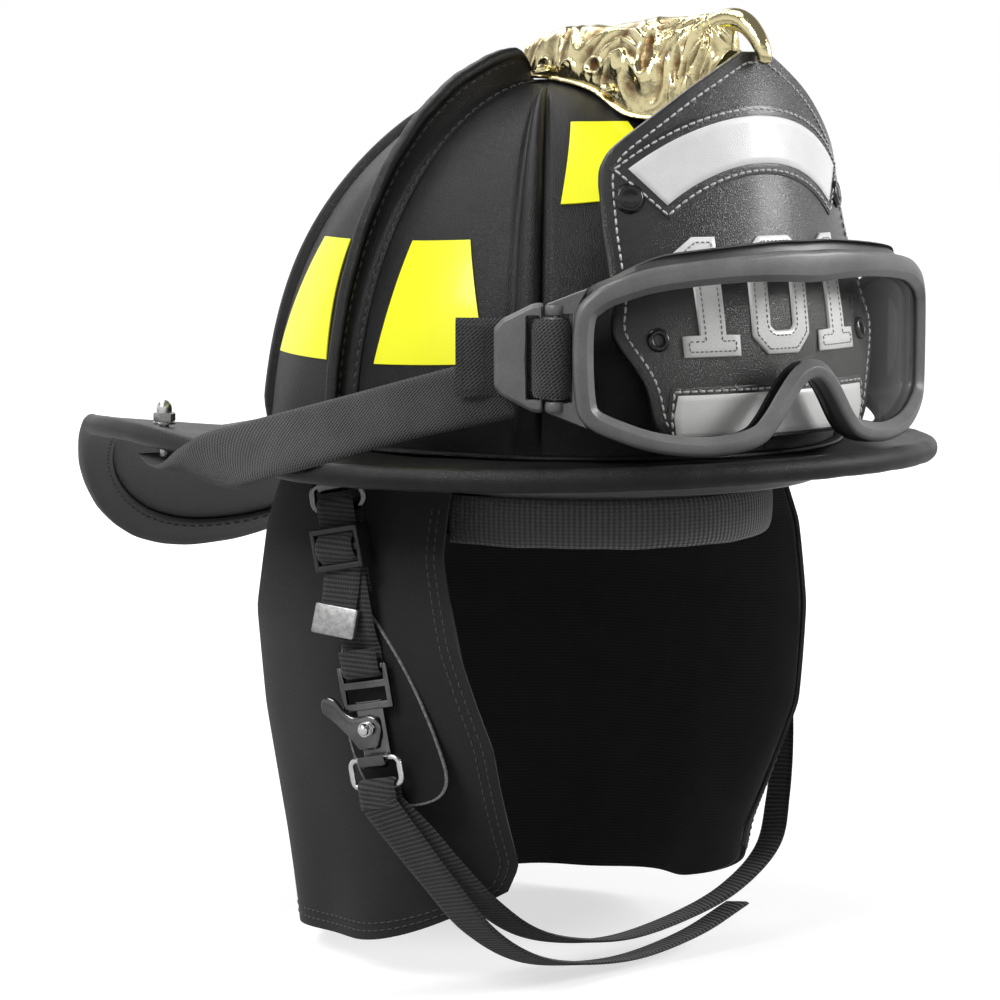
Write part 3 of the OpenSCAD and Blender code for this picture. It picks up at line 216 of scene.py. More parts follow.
def solid(name, grid, loop=False, sharp=38.0, body="shell", paint=None, slot=None, stands_for=(), hollow=None):
    """Closed mesh over grid[i, j] in millimetres: j runs round each section and i along the piece.
    loop joins the last section to the first, and otherwise flat ends close it. The UV map is in metres:
    the mean distance round the section, and the mean distance along. hollow is how deep each point lies, 0 to 1."""
    m, n = grid.shape[:2]
    index = np.arange(m * n).reshape(m, n)
    right, below = np.roll(index, -1, 1), np.roll(index, -1, 0)
    rows = m if loop else m - 1
    quads = np.stack([index, right, np.roll(right, -1, 0), below], -1)[:rows].reshape(-1, 4)
    points = grid.reshape(-1, 3)
    corner = points[quads]
    volume = (np.cross(corner[:, 1] - corner[:, 0], corner[:, 2] - corner[:, 0])
              * (corner[:, 0] - points.mean(0))).sum()
    volume += (np.cross(corner[:, 2] - corner[:, 0], corner[:, 3] - corner[:, 0])
               * (corner[:, 0] - points.mean(0))).sum()
    step_round = np.linalg.norm(np.roll(grid, -1, 1) - grid, axis=2).mean(0)
    step_along = np.linalg.norm(np.roll(grid, -1, 0) - grid, axis=2).mean(1)
    far_round = np.concatenate([[0], np.cumsum(step_round)]) / 1000
    far_along = np.concatenate([[0], np.cumsum(step_along)]) / 1000
    i, j = np.meshgrid(np.arange(rows), np.arange(n), indexing="ij")
    uv = np.stack([np.stack([far_round[j + a], far_along[i + b]], -1) for a, b in ((0, 0), (1, 0), (1, 1), (0, 1))],
                  2)
    ends = [] if loop else [index[0][::-1].tolist(), index[-1].tolist()]
    faces = quads.tolist() + ends
    uv = np.concatenate([uv.reshape(-1, 2), np.zeros((sum(map(len, ends)), 2))])
    if volume < 0:
        faces = [face[::-1] for face in faces]
        flat = uv[:len(quads) * 4].reshape(-1, 4, 2)[:, ::-1].reshape(-1, 2)
        uv = np.concatenate([flat, uv[len(quads) * 4:]])
    mesh = bpy.data.meshes.new(name)
    mesh.from_pydata(points / 1000, [], faces)
    mesh.uv_layers.new(name="laid").data.foreach_set("uv", uv.ravel())
    if hollow is not None:
        mesh.attributes.new("hollow", "FLOAT", "POINT").data.foreach_set("value", hollow.ravel())
    tidy = bmesh.new()
    tidy.from_mesh(mesh)
    bmesh.ops.remove_doubles(tidy, verts=tidy.verts, dist=2e-6)
    tidy.to_mesh(mesh)
    tidy.free()
    return placed(name, mesh, sharp, body, paint, stands_for)


def placed(name, mesh, sharp=38.0, body="shell", paint=None, stands_for=()):
    """Object of a mesh: smooth but for edges sharper than an angle, painted, and riding on a body if one is named."""
    mesh.shade_smooth()
    mesh.set_sharp_from_angle(angle=math.radians(sharp))
    made = bpy.data.objects.new(name, mesh)
    bpy.context.scene.collection.objects.link(made)
    if paint:
        mesh.materials.append(paint)
    if stands_for:
        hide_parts(*stands_for)
    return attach(made, body) if body else made


def smooth(k):
    """Smooth step from 0 to 1."""
    k = np.clip(k, 0, 1)
    return k * k * (3 - 2 * k)


crown_wide, crown_long, crown_high, leather_thick = 107, 128, 145, 4.0


def crown_power(turn):
    """Power of the superellipse at a turn: fuller in front, an ellipse behind."""
    return 2 + 0.34 * np.clip(np.cos(np.radians(turn)), 0, 1) ** 2


def dome(turn, rise, grow):
    """Point of the crown: turn 0 is the front and 90 the wearer's right, rise 90 the top; grow moves it outward."""
    turn, rise, grow = np.broadcast_arrays(np.asarray(turn, float), np.asarray(rise, float), np.asarray(grow, float))
    power = crown_power(turn)
    wide = np.cos(np.radians(rise)).clip(0, 1) ** (2 / power)
    tall = np.sin(np.radians(rise)).clip(0, 1) ** (2 / power)
    t = np.radians(turn)
    return np.stack([-(crown_wide + grow) * wide * np.sin(t), -(crown_long + grow) * wide * np.cos(t),
                     (crown_high + grow) * tall], -1)


def leather_uneven(turn, rise):
    """Slow waves of hand-formed leather, in millimetres."""
    t, r = np.radians(turn), np.radians(rise)
    return (0.22 * np.sin(7 * t + 3 * r) * np.cos(5 * r) + 0.16 * np.sin(13 * t - 6 * r)
            + 0.1 * np.sin(23 * t + 11 * r))


def bead_height(turn, rise, at):
    """Height of the pressed bead at a turn: a half-round ridge between two shallow creases, fading at both ends."""
    away = np.abs(turn - at) / 4.4
    ridge = 3.6 * np.sqrt(np.clip(1 - (away / 0.62) ** 2, 0, 1)) - 0.55 * np.exp(-((away - 0.8) / 0.2) ** 2)
    foot = 1.6 * np.exp(-rise / 3.5) * np.exp(-(away / 1.3) ** 2)
    return ridge * smooth((rise + 1) / 7) * (1 - smooth((rise - 68) / 12)) + foot


def black_leather(name, grain, gloss, spread=0.09, coat=0.0, shine=0.22):
    """Painted black hide: grain in pores a metre, mean roughness and its spread, dusty scuffs and faint wear."""
    paint, wire, inputs = material(name, Specular_IOR_Level=shine, Coat_Weight=coat, Coat_Roughness=0.22)
    pores = wire.cells(grain, "DISTANCE_TO_EDGE")
    fine = wire.noise(grain * 2.1, 4.0, 0.6)
    slow = wire.noise(24.0, 4.0, 0.55)
    scuff = wire.noise(160.0, 6.0, 0.7)
    worn = (slow * 0.6 + scuff * 0.4).rise(0.35, 0.75)
    link(inputs, "Base Color", worn.tint((0.007, 0.007, 0.0072), (0.020, 0.020, 0.0203)))
    link(inputs, "Roughness", gloss + (slow - 0.5) * (spread * 1.6) + (scuff - 0.5) * spread + fine * 0.05)
    height = pores.rise(0.0, 0.28) * (0.16 / grain) + fine * (0.10 / grain) + slow * 0.0002
    link(inputs, "Normal", wire.bump(height, 0.55))
    return paint


helmet_leather = black_leather("helmet_leather", 1150.0, 0.36)
rises_out = 90 * np.linspace(0, 0.9985, 60) ** 1.05
rises_in = np.linspace(89.8, 0, 18)
for corner, first, bead_at, side in (("front_right", 0, 50, 1), ("front_left", 0, 50, -1),
                                     ("rear_right", 90, 130, 1), ("rear_left", 90, 130, -1)):
    turns = np.unique(np.concatenate([first + np.array([0.1, 89.9]), np.linspace(first + 1, first + 89, 58),
                                      np.linspace(bead_at - 6, bead_at + 6, 31)]))[:, None]
    outside = dome(turns, rises_out, bead_height(turns, rises_out, bead_at) + leather_uneven(turns, rises_out) - 0.2)
    grid = np.concatenate([outside, dome(turns, rises_in, -leather_thick)], 1) * [side, 1, 1]
    solid("crown_leather_" + corner, grid, paint=helmet_leather, slot="black_leather",
          stands_for=["crown_gore_" + corner])

# The combs: where two gores meet, their turned-up edges stand as a thin web with a rounded welt, lock-stitched
# twice on each side, once by the foot and once under the ridge.
def unit(v):
    """Vectors along the last axis, made one long."""
    return v / np.maximum(np.linalg.norm(v, axis=-1, keepdims=True), 1e-12)


def sweep(path, across, up, profile):
    """Sections along a path: each profile point (a, b) lies a across and b up from the path's point."""
    profile = np.asarray(profile, float)
    if profile.ndim == 2:
        profile = np.broadcast_to(profile, (len(path), *profile.shape))
    return path[:, None] + profile[..., :1] * across[:, None] + profile[..., 1:2] * up[:, None]


def curve(points, steps):
    """Smooth curve through points, with so many steps between each two."""
    p = np.asarray(points, float)
    p = np.concatenate([[2 * p[0] - p[1]], p, [2 * p[-1] - p[-2]]])
    k = np.linspace(0, 1, steps, endpoint=False)[None, :, None]
    a, b, c, d = (p[i:len(p) - 3 + i, None] for i in range(4))
    spans = 0.5 * (2 * b + (c - a) * k + (2 * a - 5 * b + 4 * c - d) * k ** 2 + (3 * b - a - 3 * c + d) * k ** 3)
    return np.concatenate([spans.reshape(-1, p.shape[1]), p[-2:-1]])


def evenly(path, step, extra=None):
    """Points of a path at equal distances of about step, and another array carried along with them."""
    far = np.concatenate([[0], np.cumsum(np.linalg.norm(np.diff(path, axis=0), axis=1))])
    at = np.linspace(0, far[-1], max(2, int(round(far[-1] / step)) + 1))
    take = lambda a: np.stack([np.interp(at, far, a[:, i]) for i in range(a.shape[1])], 1)
    return take(path) if extra is None else (take(path), take(extra))


def stitches(name, rows, pitch, long, thick, paint, body="shell", sunk=0.35):
    """Thread seen as one short rounded run after another. rows holds (path, outward normals) pairs in millimetres."""
    round_by = np.radians([90, 162, 234, 306, 18])
    shape = np.array([[-0.5, 0.35], [-0.38, 0.9], [0, 1.1], [0.38, 0.9], [0.5, 0.35]])
    ring = np.stack([np.cos(round_by), np.sin(round_by)], 1)
    points, count = [], 0
    for path, normal in rows:
        path, normal = evenly(np.asarray(path, float), pitch, np.asarray(normal, float))
        middle = (path[1:] + path[:-1]) / 2
        along = unit(path[1:] - path[:-1])
        up = unit(normal[1:] + normal[:-1])
        up = unit(up - (up * along).sum(1, keepdims=True) * along)
        side = np.cross(along, up)
        for place, wide in shape:
            bow = (1 - (2 * place) ** 2) * thick * 0.5 - thick * sunk
            centre = middle + along * place * long + up * bow
            points.append(centre[:, None] + (side[:, None] * ring[None, :, :1] + up[:, None] * ring[None, :, 1:])
                          * thick / 2 * wide)
        count += len(middle)
    per_row = [np.stack(points[k:k + 5], 1) for k in range(0, len(points), 5)]
    every = np.concatenate(per_row).reshape(-1, 3)
    k = np.arange(5)
    quads = np.concatenate([np.stack([r * 5 + k, r * 5 + (k + 1) % 5, (r + 1) * 5 + (k + 1) % 5, (r + 1) * 5 + k], 1)
                            for r in range(4)])
    quads = (quads[None] + np.arange(count)[:, None, None] * 25).reshape(-1, 4).tolist()
    ends = (np.stack([k[::-1], 20 + k])[None] + np.arange(count)[:, None, None] * 25).reshape(-1, 5).tolist()
    mesh = bpy.data.meshes.new(name)
    mesh.from_pydata(every / 1000, [], quads + ends)
    tidy = bmesh.new()
    tidy.from_mesh(mesh)
    bmesh.ops.recalc_face_normals(tidy, faces=tidy.faces)
    tidy.to_mesh(mesh)
    tidy.free()
    return placed(name, mesh, 60, body, paint)


thread_black, thread_wire, thread_inputs = material("black_thread", Roughness=0.62, Sheen_Weight=0.3)
link(thread_inputs, "Base Color",
     thread_wire.noise(2600.0).rise(0.3, 0.7).tint((0.012, 0.012, 0.012), (0.05, 0.05, 0.05)))
comb_rows = []
for comb, turn, foot, top, last in (("comb_front", 0, 4.5, 10.5, 52), ("comb_right", 90, 8, 15, 84),
                                    ("comb_rear", 180, 8, 15, 84), ("comb_left", 270, 8, 15, 84)):
    rise = np.linspace(1.5, last, 90)
    base = dome(turn, rise, 0.1)
    out = unit(dome(turn, rise, 1.1) - base)
    side = np.broadcast_to([math.cos(math.radians(turn)), -math.sin(math.radians(turn)), 0.0], out.shape)
    high = foot + (top - foot) * smooth(rise / 70)
    ends = np.sqrt(np.clip(1 - (1 - np.clip(np.minimum((rise - 1.2) / 5.5, (last + 0.3 - rise) / 4.0), 0, 1)) ** 2,
                           0.0, 1))
    wobble = 1 + 0.012 * np.sin(rise * 0.6) + 0.006 * np.sin(rise * 1.7 + 1)
    half = np.array([[7.6, -0.3], [7.1, 0.45], [5.4, 0.9], [3.9, 1.5], [2.9, 0.24], [2.35, 0.4], [2.2, 0.62],
                     [2.35, 0.70], [2.95, 0.76], [3.15, 0.85], [2.7, 0.94], [1.6, 0.992], [0.5, 1.0]])
    half = np.broadcast_to(half, (len(rise), *half.shape)).copy()
    half[:, 4:, 1] *= (high * wobble)[:, None]
    half[:, 3, 1] = np.minimum(half[:, 3, 1], 0.9 * half[:, 4, 1] + 0.2)
    half[..., 1] *= np.where(half[..., 1] > 0, ends[:, None], 1)
    profile = np.concatenate([half, half[:, ::-1] * [-1, 1]], 1)
    fine = np.stack([curve(p, 3) for p in profile])
    solid(comb + "_leather", sweep(base, side, out, fine), sharp=70, paint=helmet_leather, slot="black_leather",
          stands_for=[comb])
    keep = (rise > 5) & (rise < last - 3)
    for hand in (-1, 1):
        tilt = unit(out * 0.25 + side * hand)
        at = base + out * (high * 0.6)[:, None] + side * hand * 2.3
        comb_rows.append((at[keep], tilt[keep]))
        comb_rows.append(((base + out * 0.75 + side * hand * 6.3)[keep], unit(out + side * hand * 0.35)[keep]))
stitches("comb_stitching", comb_rows, 4.4, 3.3, 0.85, thread_black)

# The brim: the same hide in one piece, its edge rolled over a steel wire and sewn back beneath as a hem.
# Behind, it stretches into the long tail that hangs down and throws water off.
def eased(x, rows):
    """Value at x between rows of (place, value), eased by half a cosine between each two."""
    rows = np.asarray(rows, float)
    i = np.clip(np.searchsorted(rows[:, 0], x, side="right") - 1, 0, len(rows) - 2)
    k = np.clip((x - rows[i, 0]) / (rows[i + 1, 0] - rows[i, 0]), 0, 1)
    return rows[i, 1] + (rows[i + 1, 1] - rows[i, 1]) * (1 - np.cos(np.pi * k)) / 2


def brim_edge(turn):
    """Middle of the roll at a turn: an ellipse in front, a fuller curve behind, and the tail's hanging edge."""
    turn = np.asarray(turn, float)
    s, c = np.sin(np.radians(turn)), np.cos(np.radians(turn))
    power = np.where(c > 0, 2.0, 2.3)
    away = np.minimum(turn % 360, 360 - turn % 360)
    tail = np.where(away < 128, 0, 66 * np.sin(np.pi / 2 * (np.clip(away - 128, 0, 52) / 52) ** 1.15))
    height = eased(away, [(0, -1), (78, -5), (112, 0.5), (130, -2)]) - tail
    return np.stack([-145 * np.sign(s) * np.abs(s) ** (2 / power),
                     -np.where(c > 0, 165, 250) * np.sign(c) * np.abs(c) ** (2 / power), height], -1)


def brim_hole(turn):
    """Edge of the head opening at a turn."""
    t = np.radians(np.asarray(turn, float))
    return np.stack([-(crown_wide - leather_thick) * np.sin(t), -(crown_long - leather_thick) * np.cos(t), 0 * t], -1)


def brim_top(turn, share):
    """Point of the upper face, from the opening at share 0 to the roll at share 1."""
    turn, share = np.broadcast_arrays(np.asarray(turn, float), np.asarray(share, float))
    a, b = brim_hole(turn), brim_edge(turn)
    point = a + (b - a) * share[..., None]
    point[..., 2] = (b[..., 2] + 3.5) * (np.clip(share - 0.12, 0, 1) / 0.88) ** 1.4
    return point


turns = np.arange(0, 360, 1.5)
edge, hole = brim_edge(turns), brim_hole(turns)
flat = edge[:, :2] - hole[:, :2]
reach = np.linalg.norm(flat, axis=1)
out = np.concatenate([flat / reach[:, None], np.zeros((len(turns), 1))], 1)
up = np.array([0.0, 0.0, 1.0])
slope = (brim_top(turns, 0.98)[:, 2] - brim_top(turns, 0.8)[:, 2]) / (0.18 * reach)
shares = np.linspace(0, 0.9, 20)
around_it = np.radians(turns)[:, None]
sag = 0.35 * np.sin(around_it * 9) * np.sin(np.pi * shares) + 0.2 * np.sin(around_it * 17 + 2)
top = brim_top(turns[:, None], shares) + up * (sag * np.clip(shares * 4, 0, 1))[..., None]
roll_by = np.radians(np.linspace(112, -96, 22))
roll_size = 4.5 + 0.08 * np.sin(np.radians(turns) * 31) + 0.06 * np.sin(np.radians(turns) * 57)
roll = (edge[:, None] + out[:, None] * (roll_size[:, None] * np.cos(roll_by))[..., None]
        + up * (roll_size[:, None] * np.sin(roll_by))[..., None])
hem_at = np.array([[-3.0, -4.3], [-8.0, -4.25], [-13.6, -4.2], [-14.8, -3.9], [-15.1, -3.0], [-14.8, -2.2],
                   [-9.0, -2.0], [-3.2, -2.1]])
hem = (edge[:, None] + out[:, None] * hem_at[None, :, :1]
       + up * (hem_at[None, :, 1:] + (hem_at[None, :, :1] * slope[:, None, None])))
hollow_by = np.radians(np.linspace(-125, 125, 10))
wire_hole = (edge[:, None] + out[:, None] * (2.25 * np.cos(hollow_by))[None, :, None]
             + up * (2.25 * np.sin(hollow_by))[None, :, None])
lap = edge + out * -14.0 + up * (-1.75 - 14.0 * slope)[:, None]
under = brim_top(turns[:, None], np.linspace(0.62, 0, 12)) - up * leather_thick
solid("brim_leather", np.concatenate([top, roll, hem, wire_hole, lap[:, None], under], 1), loop=True, sharp=50,
      paint=helmet_leather, slot="black_leather", stands_for=["brim"])
hem_row = edge + out * -12.4 + up * (-4.25 - 12.4 * slope)[:, None]
closed = lambda rows: np.concatenate([rows, rows[:1]])
stitches("brim_stitching", [(closed(hem_row), np.tile(-up, (len(turns) + 1, 1)))], 5.2, 3.8, 0.9, thread_black)

# The welt: a leather cord, painted with the rest and sewn into the joint between crown and brim, where it shows as a
# low ridge all round.
welt_path = dome(np.arange(0, 360, 2.0), 0.0, 1.6) + up
welt_out = unit(welt_path * [1 / crown_wide ** 2, 1 / crown_long ** 2, 0])
welt_by = np.radians(np.arange(0, 360, 36))
welt_profile = np.stack([1.9 * np.cos(welt_by) + 0.2, 1.3 * np.sin(welt_by)], 1)
solid("crown_welt", sweep(welt_path, welt_out, np.tile(up, (len(welt_path), 1)), welt_profile), loop=True,
      paint=helmet_leather, slot="black_leather")

# Reflective trapezoids: fluorescent lime film of sealed prism cells, die-cut and stuck to the leather, two on each
# quarter of the crown. The film also glows faintly of itself, a painted light that keeps it bright.
film_paint, film, film_inputs = material("lime_film", Roughness=0.38, Specular_IOR_Level=0.45, Coat_Weight=0.35,
                                         Coat_Roughness=0.12)
prisms = film.cells(950.0, "DISTANCE_TO_EDGE").rise(0.0, 0.1)
dust = film.noise(90.0, 5.0, 0.6).rise(0.4, 0.8)
link(film_inputs, "Base Color", (prisms * 0.75 + dust * 0.25).tint((0.78, 0.83, 0.002), (0.90, 0.89, 0.0015)))
# Painted light: a faint glow of the film's own over its whole face, though it is no lamp.
link(film_inputs, "Emission Color", (1 - prisms * 0.4).tint((0.6, 0.6, 0.0), (0.72, 0.70, 0.0)))
film_paint.node_tree.nodes["Principled BSDF"].inputs["Emission Strength"].default_value = 0.34
link(film_inputs, "Normal", film.bump(prisms * 0.00003 + dust * 0.00001, 0.4))
films = []
for low_turns, high_turns, low, high in (((58, 83), (64, 79), 13.5, 34), ((97, 122), (101, 116), 13.5, 34),
                                         ((141, 166), (145, 162), 13.5, 34), ((15, 43), (17, 38), 40, 60)):
    for side in (1, -1):
        across, rise = np.linspace(0, 1, 22), np.linspace(0, 1, 22)[:, None]
        start, end = (first + (last - first) * rise for first, last in zip(low_turns, high_turns))
        turn = start + (end - start) * across
        rise = np.broadcast_to(low + (high - low) * rise, turn.shape)
        lift = 0.55 + leather_uneven(turn, rise)
        films.append(np.concatenate([dome(turn, rise, lift), dome(turn, rise, lift - 0.45)[:, ::-1]], 1)
                     * [side, 1, 1])


def joined(name, grids, **finish):
    """Several closed meshes made as one piece."""
    made = [solid(f"{name}_{k}", grid, **{**finish, "stands_for": (), "slot": None}) for k, grid in enumerate(grids)]
    join = bmesh.new()
    for one in made:
        join.from_mesh(one.data)
    first = made[0]
    join.to_mesh(first.data)
    join.free()
    for one in made[1:]:
        mesh = one.data
        bpy.data.objects.remove(one)
        bpy.data.meshes.remove(mesh)
    first.name = first.data.name = name
    if finish.get("stands_for"):
        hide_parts(*finish["stands_for"])
    return first


joined("reflective_film", films, paint=film_paint, slot="reflective", stands_for=["reflective_trapezoids"])

# The impact cap: a glossy black moulded shell held up inside the leather crown, whose rim shows under the brim. The
# liner of fused foam beads is pressed into it.
gloss_paint, gloss, gloss_inputs = material("cap_gloss", Specular_IOR_Level=0.5, Coat_Weight=0.4, Coat_Roughness=0.05)
swirl = gloss.noise(30.0, 4.0, 0.6)
link(gloss_inputs, "Base Color", swirl.tint((0.006, 0.006, 0.006), (0.016, 0.016, 0.016)))
link(gloss_inputs, "Roughness", 0.14 + swirl * 0.12)
link(gloss_inputs, "Normal", gloss.bump(gloss.noise(180.0, 3.0) * 0.00008, 0.5))
around = np.arange(0, 360, 4.0)


def cup(outside, inside, skirt, lip):
    """Sections of a bowl under the crown, one for each turn: up its outside, down its inside, and round the lip."""
    rise = 90 * np.linspace(0, 0.9995, 26)
    outer = dome(around[:, None], rise, outside)
    inner = dome(around[:, None], rise, inside)[:, ::-1]
    low = np.stack([dome(around, 0, outside - lip * (1 - math.cos(a)) / 2) * [1, 1, 0]
                    + [0, 0, -skirt - lip * 0.5 * math.sin(a)] for a in np.linspace(math.pi, 0, 7)], 1)
    return np.concatenate([low, outer, inner], 1)


solid("cap_shell", cup(-4.8, -7.8, 13.0, 3.0), loop=True, sharp=60, paint=gloss_paint, slot="cap_shell",
      stands_for=["impact_cap"])
foam_paint, foam, foam_inputs = material("bead_foam", Specular_IOR_Level=0.25)
beads = foam.cells(320.0, "DISTANCE_TO_EDGE")
link(foam_inputs, "Base Color", beads.rise(0.0, 0.18).tint((0.42, 0.40, 0.34), (0.62, 0.60, 0.53)))
link(foam_inputs, "Roughness", 0.75 + beads * 0.15)
link(foam_inputs, "Normal", foam.bump(beads.rise(0.0, 0.3) * 0.0004, 0.7))
solid("liner_foam", cup(-8.1, -21.6, 0.6, 13.0), loop=True, sharp=60, paint=foam_paint, slot="foam",
                stands_for=["foam_liner"])

# The suspension: three webbing straps over the head, keyed under the foam, and a headband of flexible black
# plastic, slotted and ribbed, with a knitted pad folded over it at the brow.
def weave(name, dark, light, rib, wale, rough=0.72, slant=0.0, ply=0.5, height=0.00022, sheen=0.25):
    """Woven cloth on the laid map: a weft rib each rib metres, a warp yarn each wale metres. slant leans the ribs,
    and ply is how much the warp shows and how far each yarn steps against the next."""
    paint, wire, inputs = material(name, Specular_IOR_Level=0.3, Sheen_Weight=sheen, Sheen_Roughness=0.5)
    laid = wire.node("UVMap", {"uv_map": "laid"})
    parts = wire.node("SeparateXYZ", None, {0: laid}).socket.node.outputs
    across, along = Wire(wire.tree, parts[0]), Wire(wire.tree, parts[1])
    stray = wire.noise(900.0, 4.0, 0.6) - 0.5
    turn = across / wale
    pick = (along + across * slant) / rib
    yarn = (turn + stray * 0.25).wave(1.0)
    weft = (pick + turn.math("FLOOR", turn) * ply + stray * 0.3).wave(1.0)
    raised = (yarn * ply + weft * (1 - ply)) ** 1.4
    worn = wire.noise(70.0, 4.0, 0.6)
    # The colour follows the yarn's height: raised yarn is painted lighter and the hollows between yarns darker, a
    # painted highlight and shade; worn adds real wear on top.
    link(inputs, "Base Color", (raised * 0.7 + worn * 0.5 - 0.1).tint(dark, light))
    link(inputs, "Roughness", rough + (worn - 0.5) * 0.15 + (1 - raised) * 0.1)
    link(inputs, "Normal", wire.bump(raised * height + wire.noise(2600.0, 3.0) * height * 0.4, 0.8))
    return paint


def oval(turn, grow, z):
    """Point round the head, grow outside the headband's inner face, at a height."""
    turn, grow, z = np.broadcast_arrays(np.asarray(turn, float), np.asarray(grow, float), np.asarray(z, float))
    t = np.radians(turn)
    return np.stack([-(78.5 + grow) * np.sin(t), -(98.5 + grow) * np.cos(t), z], -1)


webbing_paint = weave("black_webbing", (0.006, 0.006, 0.006), (0.080, 0.080, 0.080), 0.0019, 0.0012, ply=0.14,
                      height=0.0005)
for number, turn in enumerate((30, 90, 150)):
    side = unit(oval(turn + 1, 0, 0) - oval(turn - 1, 0, 0))
    k = np.linspace(-95, 95, 77)
    flat, z_drop = np.minimum(90, np.abs(k)), 12 * np.maximum(0, np.abs(k) - 90) / 5
    reach = (np.sin(np.radians(flat)) * np.sign(k))[:, None]
    z = (100 + number * 1.7) * np.cos(np.radians(flat)) - z_drop
    low = oval(turn, 1.9, 0) * reach
    high = oval(turn, 2.9, 0) * reach
    low[:, 2], high[:, 2] = z, z + 1.1 * np.cos(np.radians(flat))
    wide = 9.5 * np.array([-1, -0.96, -0.5, 0, 0.5, 0.96, 1, 0.96, 0.5, 0, -0.5, -0.96])
    up_share = np.array([0.5, 1, 1, 1, 1, 1, 0.5, 0, 0, 0, 0, 0])
    grid = low[:, None] + (high - low)[:, None] * up_share[None, :, None] + side * wide[None, :, None]
    solid(f"crown_strap_{number + 1}", grid, sharp=70, paint=webbing_paint, slot="webbing",
          stands_for=["crown_straps"] if number == 0 else ())


def moulded(name, dark, light, rough, fine=1400.0):
    """Moulded plastic: an even tone with faint flow marks, a spark-eroded texture and rubbed patches."""
    paint, wire, inputs = material(name, Specular_IOR_Level=0.5)
    slow, tooth = wire.noise(55.0, 4.0, 0.6), wire.noise(fine, 3.0, 0.6)
    link(inputs, "Base Color", (slow * 0.7 + tooth * 0.3).rise(0.3, 0.75).tint(dark, light))
    link(inputs, "Roughness", rough + (slow - 0.5) * 0.16 + (tooth - 0.5) * 0.1)
    link(inputs, "Normal", wire.bump(tooth * 0.00004 + slow * 0.00008, 0.6))
    return paint


plastic_paint = moulded("black_plastic", (0.010, 0.010, 0.010), (0.024, 0.024, 0.024), 0.42)
turns = np.linspace(-156, 156, 157)
band_profile = np.array([[0, -34], [-0.15, -33], [-0.15, -7], [0, -6], [1.5, -6], [1.65, -6.8], [1.65, -10],
                         [1.3, -10.6], [1.3, -29.4], [1.65, -30], [1.65, -33.2], [1.5, -34]])
solid("headband_strip", oval(turns[:, None], band_profile[:, 0], band_profile[:, 1]), sharp=60, paint=plastic_paint,
      slot="black_plastic", stands_for=["headband"])
for node in ("suspension_clips", "ratchet_housing", "ratchet_knob", "ratchet_rack_right", "ratchet_rack_left"):
    nodes[node].data.materials.clear()
    nodes[node].data.materials.append(plastic_paint)

# The brow pad: grey rib knit over thin wadding, folded round the lower edge of the headband and open at its ends, so
# that it comes off for washing.
knit_paint, knit, knit_inputs = material("rib_knit", Roughness=0.85, Specular_IOR_Level=0.2, Sheen_Weight=0.5,
                                         Sheen_Roughness=0.45)
knit_laid = knit.node("SeparateXYZ", None, {0: knit.node("UVMap", {"uv_map": "laid"})})
knit_along = Wire(knit.tree, knit_laid.socket.node.outputs[1])
knit_round = Wire(knit.tree, knit_laid.socket.node.outputs[0])
ribs = (knit_along + knit.noise(300.0) * 0.0003).wave(0.0021)
loops = (knit_round + ribs * 0.0003).wave(0.0015)
fuzz = knit.noise(1800.0, 4.0, 0.7)
# Ribs and loops are painted lighter on their crests and darker between them, a painted shade; the fuzz varies the
# tone at random.
link(knit_inputs, "Base Color",
     (ribs * 0.5 + loops * 0.25 + fuzz * 0.35).tint((0.06, 0.06, 0.06), (0.21, 0.21, 0.21)))
link(knit_inputs, "Normal", knit.bump(ribs * 0.0005 + loops * 0.00025 + fuzz * 0.0002, 0.9))
turns = np.linspace(-73, 73, 110)
pad_profile = np.array([[-3.3, -8], [-4.3, -14], [-4.5, -22], [-4.1, -29], [-3.2, -34], [-1.2, -36.9], [1.2, -37.4],
                        [3.2, -36.0], [4.3, -32], [4.6, -26], [4.2, -20.5], [3.0, -18.4], [1.95, -18.8], [1.85, -26],
                        [1.8, -34.4], [0.7, -34.75], [-0.35, -34.35], [-0.35, -20], [-0.4, -8.4], [-1.6, -7.2]])
pad_profile = curve(np.concatenate([pad_profile, pad_profile[:1]]), 2)[:-1]
fade = np.sqrt(np.clip(1 - ((np.abs(turns) - 66) / 7.2).clip(0, 1) ** 2, 0.02, 1))
puff = 0.35 * np.sin(np.radians(turns) * 11) + 0.25 * np.sin(np.radians(turns) * 23 + 1)
grow = np.where(pad_profile[:, 0] > 0.9, 1.66 + (pad_profile[:, 0] - 1.66) * fade[:, None] + 0.3 * puff[:, None],
                -0.1 + (pad_profile[:, 0] + 0.1) * fade[:, None])
grow = np.where(np.abs(pad_profile[:, 0] - 0.7) < 1.2, pad_profile[:, 0], grow)
high = pad_profile[:, 1] + 0.4 * (pad_profile[:, 1] < -30) * puff[:, None]
solid("brow_pad_knit", oval(turns[:, None], grow, high), sharp=70, paint=knit_paint, slot="knit",
                stands_for=["brow_pad"])

# Neck curtain: matt black twill outside and a soft lining inside, sewn inside the rim of the cap. It hangs stiffly in
# slow folds, open at the face, with a turned and twice-sewn hem.
def curtain_row(z, column):
    """A size of the hanging cloth at a height, straight between rows of measurements."""
    rows = np.array([[-3, 97.5, 118.5, 0, 118.5, -45], [-14.5, 97.5, 118.5, 0, 118.5, -46],
                     [-22, 100, 129, 1, 126, -47], [-40, 106, 132, 5, 140, -50], [-75, 110, 135, 10, 136, -57],
                     [-115, 107, 129, 14, 128, -65], [-165, 98, 119, 22, 104, -57], [-200, 92, 112, 24, 100, -42],
                     [-245, 86, 106, 24, 96, -30]])[::-1]
    at = np.linspace(-245, -3, 300)
    values = np.interp(at, rows[:, 0], rows[:, column])
    kernel = np.exp(-np.linspace(-2, 2, 15) ** 2)
    padded = np.pad(values, 7, mode="edge")
    return np.interp(z, at, np.convolve(padded, kernel / kernel.sum(), "valid"))


